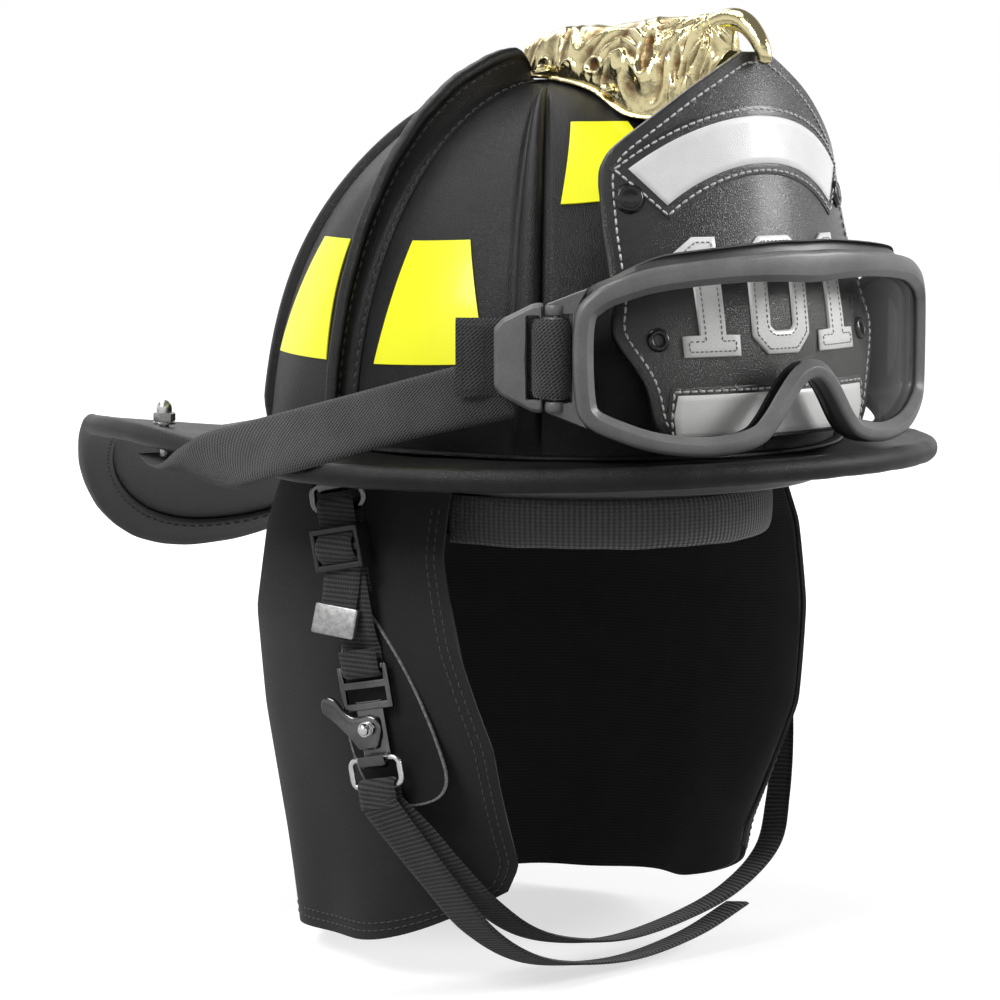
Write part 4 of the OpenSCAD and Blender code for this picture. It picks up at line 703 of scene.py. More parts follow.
def curtain_point(s, k, grow):
    """Point of the cloth: s runs round it from front edge to front edge, -1 to 1, and k from its top to its hem."""
    s, k = np.broadcast_arrays(np.asarray(s, float), np.asarray(k, float))
    away = np.abs(s)
    corner = np.clip(away - 0.72, 0, 1) / 0.28
    low = -209 + 10 * away ** 2 + 23 * corner ** 2
    z = -3 + (low + 3) * k
    side, rear, middle, front = (curtain_row(z, c) for c in (1, 2, 3, 4))
    reach = 90 + np.degrees(np.arcsin(np.clip((middle - curtain_row(z, 5)) / front, -1, 1)))
    turn = away * reach
    slow = 0.5 * np.sin(s * 9 + k * 3) * k + 0.35 * np.sin(s * 21 - k * 5) * k
    fold = 2.2 * k * k * np.sin(np.radians(s * 1260)) + slow + grow
    t = np.radians(turn)
    return np.stack([np.sign(s) * (side + fold) * np.sin(t),
                     middle + np.where(turn < 90, rear - middle + fold, front + fold) * np.cos(t), z], -1)


def cloth_layer(name, outside, thick, paint, stands_for, s_end=1.0):
    """Sheet of cloth between two faces, closed round its edges. Gives the piece, the flat size of its outer face and
    its area.
    """
    s, k = np.linspace(-s_end, s_end, 190)[:, None], np.linspace(0, 1, 64)
    face, back = curtain_point(s, k, outside), curtain_point(s, k, outside - thick)
    made = solid(name, np.concatenate([face, back[:, ::-1]], 1), sharp=60, paint=paint, slot="curtain_cloth",
                 stands_for=stands_for)
    steps = np.linalg.norm(np.diff(face, axis=0), axis=2)
    drops = np.linalg.norm(np.diff(face, axis=1), axis=2)
    a, b = face[1:, :-1] - face[:-1, :-1], face[:-1, 1:] - face[:-1, :-1]
    area = np.linalg.norm(np.cross(a, b), axis=2).sum() / 1e6
    return made, (steps.sum(0).max() / 1000, drops.sum(1).max() / 1000), area


twill = weave("curtain_twill", (0.012, 0.012, 0.012), (0.040, 0.040, 0.041), 0.0011, 0.0009, rough=0.9, slant=0.6,
              height=0.00012, sheen=0.12)
fleece = weave("curtain_lining_cloth", (0.034, 0.034, 0.034), (0.090, 0.090, 0.090), 0.0014, 0.0014, rough=0.92,
               height=0.00012)
outer_cloth, outer_flat, outer_area = cloth_layer("curtain_cloth", 0.0, 1.4, twill, ["neck_curtain"])
inner_cloth, inner_flat, inner_area = cloth_layer("curtain_lining_cloth", -1.9, 0.9, fleece, ["curtain_lining"],
                                                  0.996)
hem_rows = []
on_cloth = lambda s, k: (curtain_point(s, k, 0.1), unit(curtain_point(s, k, 1) - curtain_point(s, k, 0)))
half_round, drop_long = 260, 200
for from_edge in (4.0, 7.5):
    s_end, k_end = 1 - from_edge / half_round, 1 - from_edge / drop_long
    hem_rows.append(on_cloth(np.linspace(-s_end, s_end, 400), k_end))
    for hand in (-1, 1):
        hem_rows.append(on_cloth(hand * s_end, np.linspace(0.1, k_end, 200)))
stitches("curtain_stitching", hem_rows, 3.6, 2.7, 0.6, thread_black)

# The front shield: grained black hide, wet-formed with a bow across and a backward lean, stitched white round its
# edge. A curved and a straight panel of white coated leather lie on black borders, with three numerals between them.
# Two snaps and two eyelets fix it to the crown.
def shield_place(x, z, out=0.0):
    """Point of the shield's face at a distance across and a height, moved outward square to the face."""
    x, z, out = np.broadcast_arrays(np.asarray(x, float), np.asarray(z, float), np.asarray(out, float))
    bowed = lambda x, z: np.stack([x, -138 + 0.00273 * (z - 25) ** 2 - 0.0000134 * np.maximum(0, z - 25) ** 3
                                   + eased(z, [(20, 0.0032), (105, 0.006), (155, 0.0052)]) * x * x, z], -1)
    way = unit(np.cross(bowed(x + 0.1, z) - bowed(x - 0.1, z), bowed(x, z + 0.1) - bowed(x, z - 0.1)))
    return bowed(x, z) + way * out[..., None]


def rimmed(count, wide, rim=0.5):
    """Shares from 0 to 1 with a narrow first and last step of rim millimetres."""
    return np.concatenate([[0], np.linspace(rim / wide, 1 - rim / wide, count), [1]])


def shield_plate(name, x, z, base, thick, loop=False, **finish):
    """Plate with softened edges laid on the shield over arrays of places, from base to base + thick above it."""
    low = np.zeros(x.shape)
    low[:, [0, -1]] = 0.5
    if not loop:
        low[[0, -1]] = 0.5
    grid = np.concatenate([shield_place(x, z, base + thick * (1 - low)), shield_place(x, z, base)[:, ::-1]], 1)
    return solid(name, grid, loop=loop, sharp=50, **finish)


shield_leather = black_leather("shield_leather", 1250.0, 0.27, spread=0.07, coat=0.3, shine=0.5)
shield_rows = curve([[0.1, 1], [0.3, 0.95], [0.53, 0.885], [0.855, 0.77], [0.945, 0.715], [0.968, 0.67],
                     [0.972, 0.62],
                     [0.985, 0.54], [0.995, 0.46], [1.015, 0.37], [1.055, 0.3], [1.035, 0.25], [0.92, 0.15],
                     [0.865, 0.05], [0.8, 0]], 6) * [66, 147] + [0, 8]
half_at = lambda z: np.interp(z, shield_rows[::-1, 1], shield_rows[::-1, 0])
z = np.concatenate([[8, 8.3, 9], np.linspace(10, 153.5, 110), [154.4, 154.8, 155]])[:, None]
ends = np.interp(z, [8, 8.3, 9, 154.4, 154.8, 155], [1.3, 0.4, 0, 0, 0.4, 1.3])
u = np.linspace(-1, 1, 71)
face_x = np.concatenate([u, [1, 1, 1, 1], u[::-1], [-1, -1, -1, -1]])
edge_in = np.concatenate([np.full(71, 0.9), [0.3, 0, 0, 0.3], np.full(71, 0.9), [0.3, 0, 0, 0.3]])
depth = np.concatenate([np.zeros(71), [0.35, 1.2, 2.4, 3.25], np.full(71, 3.6), [3.25, 2.4, 1.2, 0.35]])
deep = 1.8 + (depth - 1.8) * (1.8 - ends) / 1.8
grain_lift = 0.12 * np.sin(z * 0.11 + face_x * 3) * np.cos(z * 0.05 - face_x * 5) * (depth == 0)
solid("shield_leather_face", shield_place(face_x * (half_at(z) - edge_in), z, grain_lift - deep), sharp=60,
      paint=shield_leather, slot="shield_leather", stands_for=["front_shield"])

white_paint, white, white_inputs = material("white_leather", Coat_Weight=0.3, Coat_Roughness=0.12)
white_slow, white_grain = white.noise(40.0, 4.0, 0.6), white.cells(900.0, "DISTANCE_TO_EDGE")
link(white_inputs, "Base Color", white_slow.rise(0.3, 0.8).tint((0.82, 0.82, 0.82), (0.94, 0.94, 0.935)))
link(white_inputs, "Roughness", 0.30 + white_slow * 0.15)
link(white_inputs, "Normal", white.bump(white_grain.rise(0.0, 0.3) * 0.00006 + white_slow * 0.0002, 0.4))
span, arc_middle = np.radians(40.07), 46
for name, grow, base, thick, paint, slot, node in (
        ("curved_panel_border", 4.2, 0.02, 0.55, shield_leather, None, ()),
        ("curved_panel_white", 0.0, 0.45, 0.75, white_paint, "white_leather", ["rocker_panel"])):
    turn = ((rimmed(64, 105) * 2 - 1) * (span + grow / 78))[:, None]
    far = 66.5 - grow + rimmed(9, 18) * (18 + 2 * grow)
    shield_plate(name, far * np.sin(turn), arc_middle + far * np.cos(turn), base, thick, paint=paint, slot=slot,
                 stands_for=node)
for name, grow, base, thick, paint, slot, node in (
        ("name_panel_border", 2.9, 0.02, 0.55, shield_leather, None, ()),
        ("name_panel_white", 0.0, 0.45, 0.75, white_paint, "white_leather", ["name_panel"])):
    z = np.maximum(8.7, 10 - grow + rimmed(9, 16) * (16 + 2 * grow))[:, None]
    half = 48.5 + grow * 0.9 + 1.5 * (1 - np.abs(z - 18) / (8 + grow))
    shield_plate(name, (rimmed(44, 98) * 2 - 1) * half, z + 0 * half, base, thick, paint=paint, slot=slot,
                 stands_for=node)


def rounded(points, radius=1.0, steps=5):
    """Closed polygon with each corner cut by a smooth curve that starts radius before it."""
    points = np.asarray(points, float)
    back, on = np.roll(points, 1, 0) - points, np.roll(points, -1, 0) - points
    far_back, far_on = np.linalg.norm(back, axis=1), np.linalg.norm(on, axis=1)
    start = points + back * np.minimum(radius / far_back, 0.48)[:, None]
    end = points + on * np.minimum(radius / far_on, 0.48)[:, None]
    k = np.linspace(0, 1, steps)[None, :, None]
    return ((1 - k) ** 2 * start[:, None] + 2 * k * (1 - k) * points[:, None] + k * k * end[:, None]).reshape(-1, 2)


numeral_base = 40
one_rows = np.array([[0, -12, 12], [0.5, -12, 12], [4, -12, 12], [7.5, -12, 12], [8, -12, 12], [8.2, -5, 6],
                     [8.7, -5, 6],
                     *[[h, -5, 6] for h in np.linspace(12, 29, 7)], [30.8, -5, 6], [31.0, -12, 6], [31.5, -12, 6],
                     [35, -12, 6], [38, -12, 6], [41, -8.1, 6], [44.5, -3.6, 6], [45, -3, 6]])
zero_out = rounded([[-8, 0], [8, 0], [15, 7], [15, 38], [8, 45], [-8, 45], [-15, 38], [-15, 7]], 1.2, 3)
zero_in = rounded([[-4, 9], [4, 9], [6, 11], [6, 34], [4, 36], [-4, 36], [-6, 34], [-6, 11]], 0.7, 3)


def filled(loop, steps):
    """Closed polygon with more points along each edge."""
    k = np.arange(steps)[None, :, None] / steps
    return (loop[:, None] * (1 - k) + np.roll(loop, -1, 0)[:, None] * k).reshape(-1, 2)


def inset(loop, by):
    """Closed polygon moved inward, or outward where by is negative; it runs anticlockwise."""
    along = unit(np.roll(loop, -1, 0) - np.roll(loop, 1, 0))
    return loop + np.stack([-along[:, 1], along[:, 0]], 1) * by


grey_rows = []
sewn = lambda path, lift: (shield_place(path[:, 0], path[:, 1], lift),
                           shield_place(path[:, 0], path[:, 1], 1.0) - shield_place(path[:, 0], path[:, 1], 0.0))
for number, middle in enumerate((-33, 33)):
    x = one_rows[:, 1:2] + (one_rows[:, 2:] - one_rows[:, 1:2]) * rimmed(9, 18)
    shield_plate(f"numeral_one_{number + 1}", x + middle, one_rows[:, :1] + numeral_base + 0 * x, 0.15, 1.0,
                 paint=white_paint, slot="white_leather", stands_for=["shield_numerals"] if number == 0 else ())
    run = np.array([[-9.8, 2.1], [9.8, 2.1], [9.8, 5.9], [3.9, 5.9], [3.9, 42.9], [-2.2, 42.9], [-9.9, 36.9],
                    [-9.9, 33.1], [-2.9, 33.1], [-2.9, 5.9], [-9.8, 5.9], [-9.8, 2.1]])
    for a, b in zip(run[:-1], run[1:]):
        leg = a + (b - a) * np.linspace(0, 1, 12)[:, None] + [middle, numeral_base]
        grey_rows.append(sewn(leg, 1.16))
share = rimmed(6, 8)[None, :, None]
zero_edge, zero_hole = filled(zero_out, 5), filled(zero_in, 5)
zero = zero_edge[:, None] * (1 - share) + zero_hole[:, None] * share
shield_plate("numeral_zero", zero[..., 0], zero[..., 1] + numeral_base, 0.15, 1.0, loop=True, paint=white_paint,
             slot="white_leather")
for ring in (inset(zero_edge, 2.1), inset(zero_hole, -1.9)):
    grey_rows.append(sewn(np.concatenate([ring, ring[:1]]) + [0, numeral_base], 1.16))

thread_white, white_wire, white_thread_inputs = material("white_thread", Roughness=0.6, Sheen_Weight=0.2)
link(white_thread_inputs, "Base Color",
     white_wire.noise(1500.0, 4.0).rise(0.3, 0.7).tint((0.42, 0.42, 0.41), (0.75, 0.75, 0.74)))
thread_grey, grey_wire, grey_inputs = material("grey_thread", Roughness=0.65)
link(grey_inputs, "Base Color",
     grey_wire.noise(1500.0, 4.0).rise(0.3, 0.7).tint((0.16, 0.16, 0.16), (0.32, 0.32, 0.32)))
stitches("numeral_stitching", grey_rows, 2.1, 1.5, 0.5, thread_grey, sunk=0.2)
border = np.concatenate([shield_rows[::-1], shield_rows * [-1, 1]])
border = evenly(np.concatenate([border, border[:1]]), 1.5)[:-1]
border = inset(border, 4.3)
order = np.argmin(np.abs(border[:, 1] - 13) + 99 * (border[:, 0] < 0))
border = np.roll(border, -order, 0)
border = border[:np.argmax((border[:, 1] < 13) & (border[:, 0] < 0))]
curved = lambda far, reach: np.stack([far * np.sin(np.radians(reach)),
                                      arc_middle + far * np.cos(np.radians(reach))], 1)
arc_span = np.degrees(span) + 2.3
white_rows = [sewn(border, 0.05), sewn(curved(87.2, np.linspace(-arc_span, arc_span, 90)), 0.6),
              sewn(curved(63.8, np.linspace(-arc_span, arc_span, 90)), 0.6)]
for hand in (-1, 1):
    white_rows.append(sewn(curved(np.linspace(63.8, 87.2, 12), hand * arc_span), 0.6))
    side = np.array([[49.9, 9.6], [50.9, 18], [49.9, 27.4]]) * [hand, 1]
    white_rows.append(sewn(evenly(side, 1.0), 0.6))
white_rows.append(sewn(np.stack([np.linspace(-49.9, 49.9, 60), np.full(60, 27.4)], 1), 0.6))
stitches("white_stitching", white_rows, 3.4, 2.7, 0.85, thread_white, sunk=0.2)


def turned(profile, centre, axis, count=40, toward=(0, 0, 1)):
    """Sections of a turned piece: profile rows (radius, height) swept about an axis through a centre."""
    profile, axis = np.asarray(profile, float), unit(np.asarray(axis, float))
    a = unit(np.cross(axis, np.asarray(toward, float)))
    b = np.cross(axis, a)
    t = np.linspace(0, 2 * np.pi, count, endpoint=False)[:, None, None]
    round_it = (a * np.cos(t) + b * np.sin(t)) * profile[None, :, :1]
    return np.asarray(centre, float) + round_it + axis * profile[None, :, 1:]


button_paint = moulded("black_enamel", (0.006, 0.006, 0.006), (0.014, 0.014, 0.014), 0.16)
snap_profile = curve([[0, 2.15], [1.8, 2.05], [2.9, 1.7], [3.5, 1.55], [4.1, 1.75], [4.7, 1.65], [5.3, 1.0],
                      [5.5, 0.1], [0, 0.05]], 4)
eyelet_profile = curve([[2.2, 0.1], [2.15, 0.8], [2.6, 1.25], [3.3, 1.4], [4.1, 1.0], [4.5, 0.1], [2.2, 0.1]], 4)[:-1]
for name, profile, across, height, node in (("snap", snap_profile, 55, 99.6, "shield_snaps"),
                                            ("eyelet", eyelet_profile, 54, 47, "shield_eyelets")):
    grids = []
    for x in (-across, across):
        centre, way = shield_place(x, height), shield_place(x, height, 1.0) - shield_place(x, height)
        grids.append(turned(profile, centre, way))
    joined(name + "_pair", grids, loop=True, sharp=50, paint=button_paint, slot="black_plastic", stands_for=[node])

# The holder: cast and polished brass, screwed over the top of the crown on a flat border. Leaf-like lobes fan down
# its sides from a scrolled head, and a round beak curls down in front of the shield's tip.
brass_paint, brass, brass_inputs = material("brass", Metallic=1.0, Specular_IOR_Level=0.5)
hollow = brass.node("Attribute", {"attribute_name": "hollow"}, out=2)
tarnish = brass.noise(150.0, 6.0, 0.7)
dull = (hollow * 1.0 + (tarnish - 0.5) * 1.2).rise(0.3, 1.1)
link(brass_inputs, "Base Color", dull.tint((0.74, 0.65, 0.37), (0.13, 0.068, 0.025)))
link(brass_inputs, "Roughness", 0.13 + dull * 0.28 + (tarnish - 0.5) * 0.08)
link(brass_inputs, "Normal", brass.bump(brass.noise(420.0, 4.0, 0.6) * 0.00025 + brass.noise(170.0, 4.0) * 0.0007,
                                        0.5))


def crown_line(y):
    """Height of the crown's middle line at y."""
    power = np.where(y < 0, 2.34, 2.0)
    return crown_high * (1 - (np.abs(y) / crown_long) ** power) ** (1 / power)


stations = np.array([[12, 10, 12, 0], [2, 12, 17, 0], [-18, 13.5, 21, 0], [-42, 15, 25, 0], [-66, 17.5, 37, 0],
                     [-84, 13.5, 39, 0], [-103, 9.5, 27, 0], [-110, 6.5, 13, 0]])
stations[:, 3] = np.where(stations[:, 0] > -70, crown_line(stations[:, 0]) + 1.0, 0)
stations[5:, 3] = [130, 143, 155]
station = evenly(curve(stations, 12), 0.85)
y, wide, tall, base = station.T
ends = np.sqrt(np.clip(1 - (1 - np.clip(np.minimum(12.3 - y, y + 110.3) / 5.0, 0, 1)) ** 2, 0.03, 1))[:, None]
turn = np.concatenate([[0, 2, 4], np.linspace(6, 90, 62)])
flank = np.radians((turn - 6).clip(0) / 84 * 90)
border_in = np.interp(turn, [0, 2, 4, 6], [0, 0.5, 1.6, 2.6])[None]
x_side = np.where(turn < 6, wide[:, None] - border_in, (wide[:, None] - 2.6) * np.cos(flank)[None] ** 0.85)
z_side = np.where(turn < 6, np.interp(turn, [0, 2, 4, 6], [0.2, 1.3, 1.5, 1.3]),
                  1.3 + (tall[:, None] - 1.3) * np.sin(flank)[None] ** 1.05)
out_x, out_z = np.cos(flank)[None] * 0.85, np.sin(flank)[None] * 0.75 + 0.25
fan_y, fan_z = y[:, None] + 97, base[:, None] + z_side - 171
fan_far = np.hypot(fan_y, fan_z)
fan = np.degrees(np.arctan2(fan_z, fan_y))
leaf = (fan + 10 * np.sin(fan_far / 8 + fan / 19) + 7 * np.sin(fan_far / 17 - fan / 11)) / (10.5 - 0.03 * fan_far)
lobe = 1 - np.abs(np.sin(np.pi * leaf)) ** 0.9
scale = 0.5 + 0.5 * np.cos(2 * np.pi * (fan_far / 17 + 0.5 * np.floor(leaf + 0.5)))
relief = 2.0 * lobe * (0.35 + 0.65 * scale) - 0.6 + 0.5 * np.sin(fan_far / 3.1 + 3 * np.sin(fan / 9))
for spot_y, spot_z, long_y, long_z, dent, rim in ((-71, 156, 3.6, 8, -2.0, 1.5), (-56, 153, 3.0, 3.6, 1.6, 0.8),
                                                  (-86, 150, 2.2, 7, -1.4, 1.0), (-40, 151, 4.2, 2.6, -1.3, 1.1),
                                                  (-24, 150, 3.6, 2.6, 1.3, 0.9), (-8, 151, 3.0, 2.4, -1.0, 0.8)):
    away = np.hypot((y[:, None] - spot_y) / long_y, (base[:, None] + z_side - spot_z) / long_z)
    near = np.exp(-away ** 4 * 0.5)
    relief = relief * (1 - near) + dent * near * (1 - 0.3 * away) + rim * np.exp(-((away - 1.15) / 0.24) ** 2)
mask = smooth((turn - 7) / 14) * (0.35 + 0.65 * smooth((84 - turn) / 16)) * smooth((y[:, None] + 112) / 14)
relief = relief * mask * np.clip(tall[:, None] / 16, 0, 1)
x_side, z_side = (x_side + relief * out_x) * (0.25 + 0.75 * ends), z_side * (0.35 + 0.65 * ends) + relief * out_z
x_side[:, -1] = 0
drop = x_side ** 2 / 190 * smooth((y[:, None] + 84) / 20)
side = np.stack([x_side, y[:, None] + 0 * x_side, base[:, None] + z_side - drop], -1)
far_side = side[:, -2::-1] * [-1, 1, 1]
under_x = np.linspace(-0.8, 0.8, 9)[None] * wide[:, None] * (0.25 + 0.75 * ends)
under = np.stack([under_x, y[:, None] + 0 * under_x,
                  base[:, None] + 0.1 - under_x ** 2 / 190 * smooth((y[:, None] + 84) / 20)], -1)
body_grid = np.concatenate([side, far_side, under], 1)
hollow_grid = np.clip(0.45 - 0.45 * np.concatenate([relief, relief[:, -2::-1], 0 * under_x], 1), 0, 1)
solid("holder_casting", body_grid, sharp=75, paint=brass_paint, slot="brass", stands_for=["front_holder"],
      hollow=hollow_grid)
beak_path = curve([[-96, 164], [-107, 167.2], [-115, 166], [-121.8, 160.5], [-125.5, 154.5], [-126, 150]], 9)
share = np.linspace(0, 1, len(beak_path))
thick = (4.9 - 2.4 * share ** 1.3) * np.sqrt(np.clip(1 - ((share - 0.955) / 0.046).clip(0, 1) ** 2, 0.01, 1))
beak_path = np.stack([0 * share, beak_path[:, 0], beak_path[:, 1]], 1)
along = unit(np.gradient(beak_path, axis=0))
beak_by = np.radians(np.arange(0, 360, 12))
beak_up = np.cross(along, [-1.0, 0, 0])
beak_ring = np.stack([np.cos(beak_by), np.sin(beak_by)], 1)[None] * thick[:, None, None]
beak_grid = sweep(beak_path, np.tile([1.0, 0, 0], (len(share), 1)), beak_up, beak_ring)
solid("holder_beak", beak_grid, sharp=75, paint=brass_paint, hollow=np.full(beak_grid.shape[:2], 0.15))
grids = []
for y_at, share_at in ((-10, 0.63), (-52, 0.72)):
    for hand in (-1, 1):
        w = 20 * share_at
        axis = [hand * math.sin(math.radians(12)), 0, math.cos(math.radians(12))]
        grids.append(turned([[0, 2.9], [1.5, 2.75], [2.5, 1.7], [2.75, 0.9], [3.3, 0.75], [3.4, 0.1], [0, 0]],
                            [hand * w, y_at, crown_line(np.array(y_at)) + 4.15 - w * w / 190], axis, 8))
joined("holder_screw_heads", grids, loop=True, sharp=20, paint=brass_paint, slot="brass",
       stands_for=["holder_screws"])

# The goggles: a moulded grey frame bowed round the face, a clear lens in its groove, a deep skirt behind it and a
# face foam on the skirt's edge. Brackets at its ends carry upright steel pins on which the strap clips turn.
lens_bow = 156


def goggle_place(s, h, r):
    """Point at an arc length and a height, at a radius about the upright axis of the lens."""
    s, h, r = np.broadcast_arrays(np.asarray(s, float), np.asarray(h, float), np.asarray(r, float))
    return np.stack([r * np.sin(s / lens_bow), -r * np.cos(s / lens_bow), h], -1)


half = np.array([[0, 0], [16, 0], [44, -2], [70, -5], [84, -9], [94, -14], [101, -24], [101, -52], [97, -63],
                 [84, -69.5], [69, -74], [51, -76], [36, -75], [25, -72], [18, -66], [11, -57], [5, -50.5],
                 [0, -48.5]])
whole = np.concatenate([half, half[-2:0:-1] * [-1, 1]])
rim = curve(np.concatenate([whole[-2:], whole, whole[:3]]), 8)[16:-16]
rim = evenly(rim, 2.4)[:-1][::-1] + [0, 80]
skirt_back = lens_bow - 11 - 23 * (np.abs(rim[:, 0]) / 101) ** 6
bar = 7.6 + 1.6 * smooth((rim[:, 1] - 60) / 18) + 2.8 * np.exp(-(rim[:, 0] / 30) ** 2) * (rim[:, 1] > 60)


def goggle_ring(places):
    """Sections round the frame: rows of (inset from the rim, radius), each a number or one value a section."""
    steps = [goggle_place(*inset(rim, np.broadcast_to(np.asarray(a, float), len(rim))[:, None]).T, r)
             for a, r in places]
    return np.stack(steps, 1)


frame_paint = moulded("goggle_grey", (0.125, 0.125, 0.126), (0.19, 0.19, 0.192), 0.38, 900.0)
solid("goggle_frame_moulding", goggle_ring([
    (0.9, 149.2), (0.15, 149.6), (0.0, 150.2), (0.0, 154.0), (0.25, 154.9), (0.95, 155.6), (1.9, 155.9),
    (bar - 3.1, 156.2), (bar - 2.7, 156.1), (bar - 2.45, 155.8), (bar - 0.5, 153.9), (bar - 0.1, 153.4),
    (bar, 152.9), (bar - 0.2, 152.6), (bar - 3.4, 152.6), (bar - 3.6, 149.9), (bar - 3.8, 149.4)]),
    loop=True, sharp=28, paint=frame_paint, slot="goggle_grey", stands_for=["goggle_frame"])
skirt_paint = moulded("goggle_skirt_grey", (0.055, 0.055, 0.056), (0.090, 0.090, 0.091), 0.40, 900.0)
rear = skirt_back + 2.5
brow = 3.6 * smooth((rim[:, 1] - 64) / 10) * (1 - smooth((np.abs(rim[:, 0]) - 62) / 26))
solid("goggle_skirt", goggle_ring([
    (0.4 - brow * 0.8, rear), (-0.25 - brow, rear + 0.6), (-0.3 - brow, rear + 2.2), (0.1 - brow, rear + 3.4),
    (0.15 - brow * 0.9, 147.0), (-0.15 - brow * 0.8, 148.0), (-brow * 0.1, 149.2), (0.8, 149.5),
    (2.9, 149.5), (3.2, 148.6), (2.9, 147.4), (2.7, rear + 3), (2.9, rear + 0.8), (2.3, rear)]),
    loop=True, sharp=50, paint=skirt_paint, slot="goggle_grey")
lens_paint = bpy.data.materials.new("clear_lens")
lens_paint.use_nodes = True
lens_wire = Wire(lens_paint.node_tree)
lens_paint.node_tree.nodes.remove(lens_paint.node_tree.nodes["Principled BSDF"])
haze = lens_wire.noise(60.0, 4.0, 0.6)
through = lens_wire.node("BsdfTransparent", None, {"Color": (0.97, 0.97, 0.965, 1)})
shine = lens_wire.node("BsdfGlossy", None, {"Color": (0.9, 0.9, 0.9, 1), "Roughness": 0.04,
                                            "Normal": lens_wire.bump(haze * 0.0003, 0.2)})
edge_on = lens_wire.node("LayerWeight", None, {"Blend": 0.5}, 1)
lens_mixed = lens_wire.node("MixShader", None, {0: edge_on ** 4.0 * 0.7 + haze * 0.004, 1: through, 2: shine})
lens_paint.node_tree.links.new(lens_mixed.socket, lens_paint.node_tree.nodes["Material Output"].inputs[0])
lens_edge = inset(rim, 4.2)
s = np.linspace(lens_edge[:, 0].min() + 0.3, lens_edge[:, 0].max() - 0.3, 150)
is_high = lens_edge[:, 1] > 45 + 9 * (np.abs(lens_edge[:, 0]) > 88)
by_place = lambda row: row[np.argsort(row[:, 0])]
high_side, low_side = by_place(lens_edge[is_high]), by_place(lens_edge[~is_high])
top_h, low_h = np.interp(s, *high_side.T)[:, None], np.interp(s, *low_side.T)[:, None]
h = low_h + (top_h - low_h) * np.linspace(0, 1, 26)
lens_grid = np.concatenate([goggle_place(s[:, None], h, 152.3), goggle_place(s[:, None], h, 150.1)[:, ::-1]], 1)
solid("lens_sheet", lens_grid, sharp=40, paint=lens_paint, slot="lens", stands_for=["goggle_lens"])
pad_paint, pad, pad_inputs = material("face_foam", Specular_IOR_Level=0.2)
pores = pad.cells(1100.0)
link(pad_inputs, "Base Color", pores.rise(0.1, 0.7).tint((0.006, 0.006, 0.006), (0.03, 0.03, 0.03)))
link(pad_inputs, "Roughness", 0.85 + pores * 0.1)
link(pad_inputs, "Normal", pad.bump(pores * 0.0003, 0.7))
solid("face_foam_ring", goggle_ring([
    (0.9, rear - 0.2), (0.55, rear - 1.2), (1.0, rear - 2.5), (3.2, rear - 3.2), (5.6, rear - 2.6), (6.3, rear - 1.3),
    (6.0, rear - 0.2)]), loop=True, sharp=60, paint=pad_paint, slot="face_foam", stands_for=["face_foam"])

# Strap clips and brackets, of the same grey plastic. Each clip is a cranked plate with a barrel round its pin and a
# slot for the elastic; ribs stiffen it above and below.
pin_turn = math.radians(39.6953)
pin_x, pin_y, clip_turn = -141 * math.sin(pin_turn), -141 * math.cos(pin_turn), math.radians(128.9953)


def clip_place(points, hand=1):
    """Points in the right clip's own frame (back along it, outward, up) put in place; hand -1 mirrors them."""
    points = np.asarray(points, float)
    c, s = math.cos(clip_turn), math.sin(clip_turn)
    return np.stack([(pin_x + points[..., 0] * c - points[..., 1] * s) * hand,
                     pin_y + points[..., 0] * s + points[..., 1] * c, points[..., 2] + 41], -1)


def seen_from(outline, centre, angles):
    """Where rays at given angles from a centre leave a polygon that every ray meets once."""
    a, b = outline - centre, np.roll(outline, -1, 0) - centre
    way = np.stack([np.cos(angles), np.sin(angles)], 1)[:, None]
    edge = (b - a)[None]
    cross = lambda p, q: p[..., 0] * q[..., 1] - p[..., 1] * q[..., 0]
    bottom = cross(way, edge)
    bottom = np.where(np.abs(bottom) < 1e-9, 1e-9, bottom)
    far, share = cross(a[None], edge) / bottom, cross(a[None], way) / bottom
    far = np.where((share > -1e-6) & (share < 1 + 1e-6) & (far > 0), far, 0).max(1)
    return centre + way[:, 0] * far[:, None]


def holed_plate(outline, hole, thick, bevel=0.5):
    """Sections from an outline in to a hole and back beneath, both seen from the hole's middle: (along, up, height).
    The upper face is chamfered by bevel round the outline."""
    centre = hole.mean(0)
    corners = np.concatenate([outline, hole]) - centre
    angles = np.sort(np.unique(np.round(np.concatenate([np.arctan2(corners[:, 1], corners[:, 0]),
                                                        np.linspace(-np.pi, np.pi, 90, endpoint=False)]), 4)))
    big, small = seen_from(outline, centre, angles), seen_from(hole, centre, angles)
    way = unit(big - small)
    rows = [(big, 0.5 * thick - bevel), (big - way * 0.15, 0.5 * thick - 0.8 * bevel),
            (big - way * bevel, 0.5 * thick - 0.08),
            (big - way * (bevel + 0.3), 0.5 * thick), (small + way * 0.5, 0.5 * thick), (small, 0.5 * thick - 0.5),
            (small, 0.5 - 0.5 * thick), (small + way * 0.5, -0.5 * thick), (big - way * 0.5, -0.5 * thick),
            (big, 0.5 - 0.5 * thick)]
    return np.stack([np.concatenate([p, np.full((len(p), 1), high)], 1) for p, high in rows], 1)


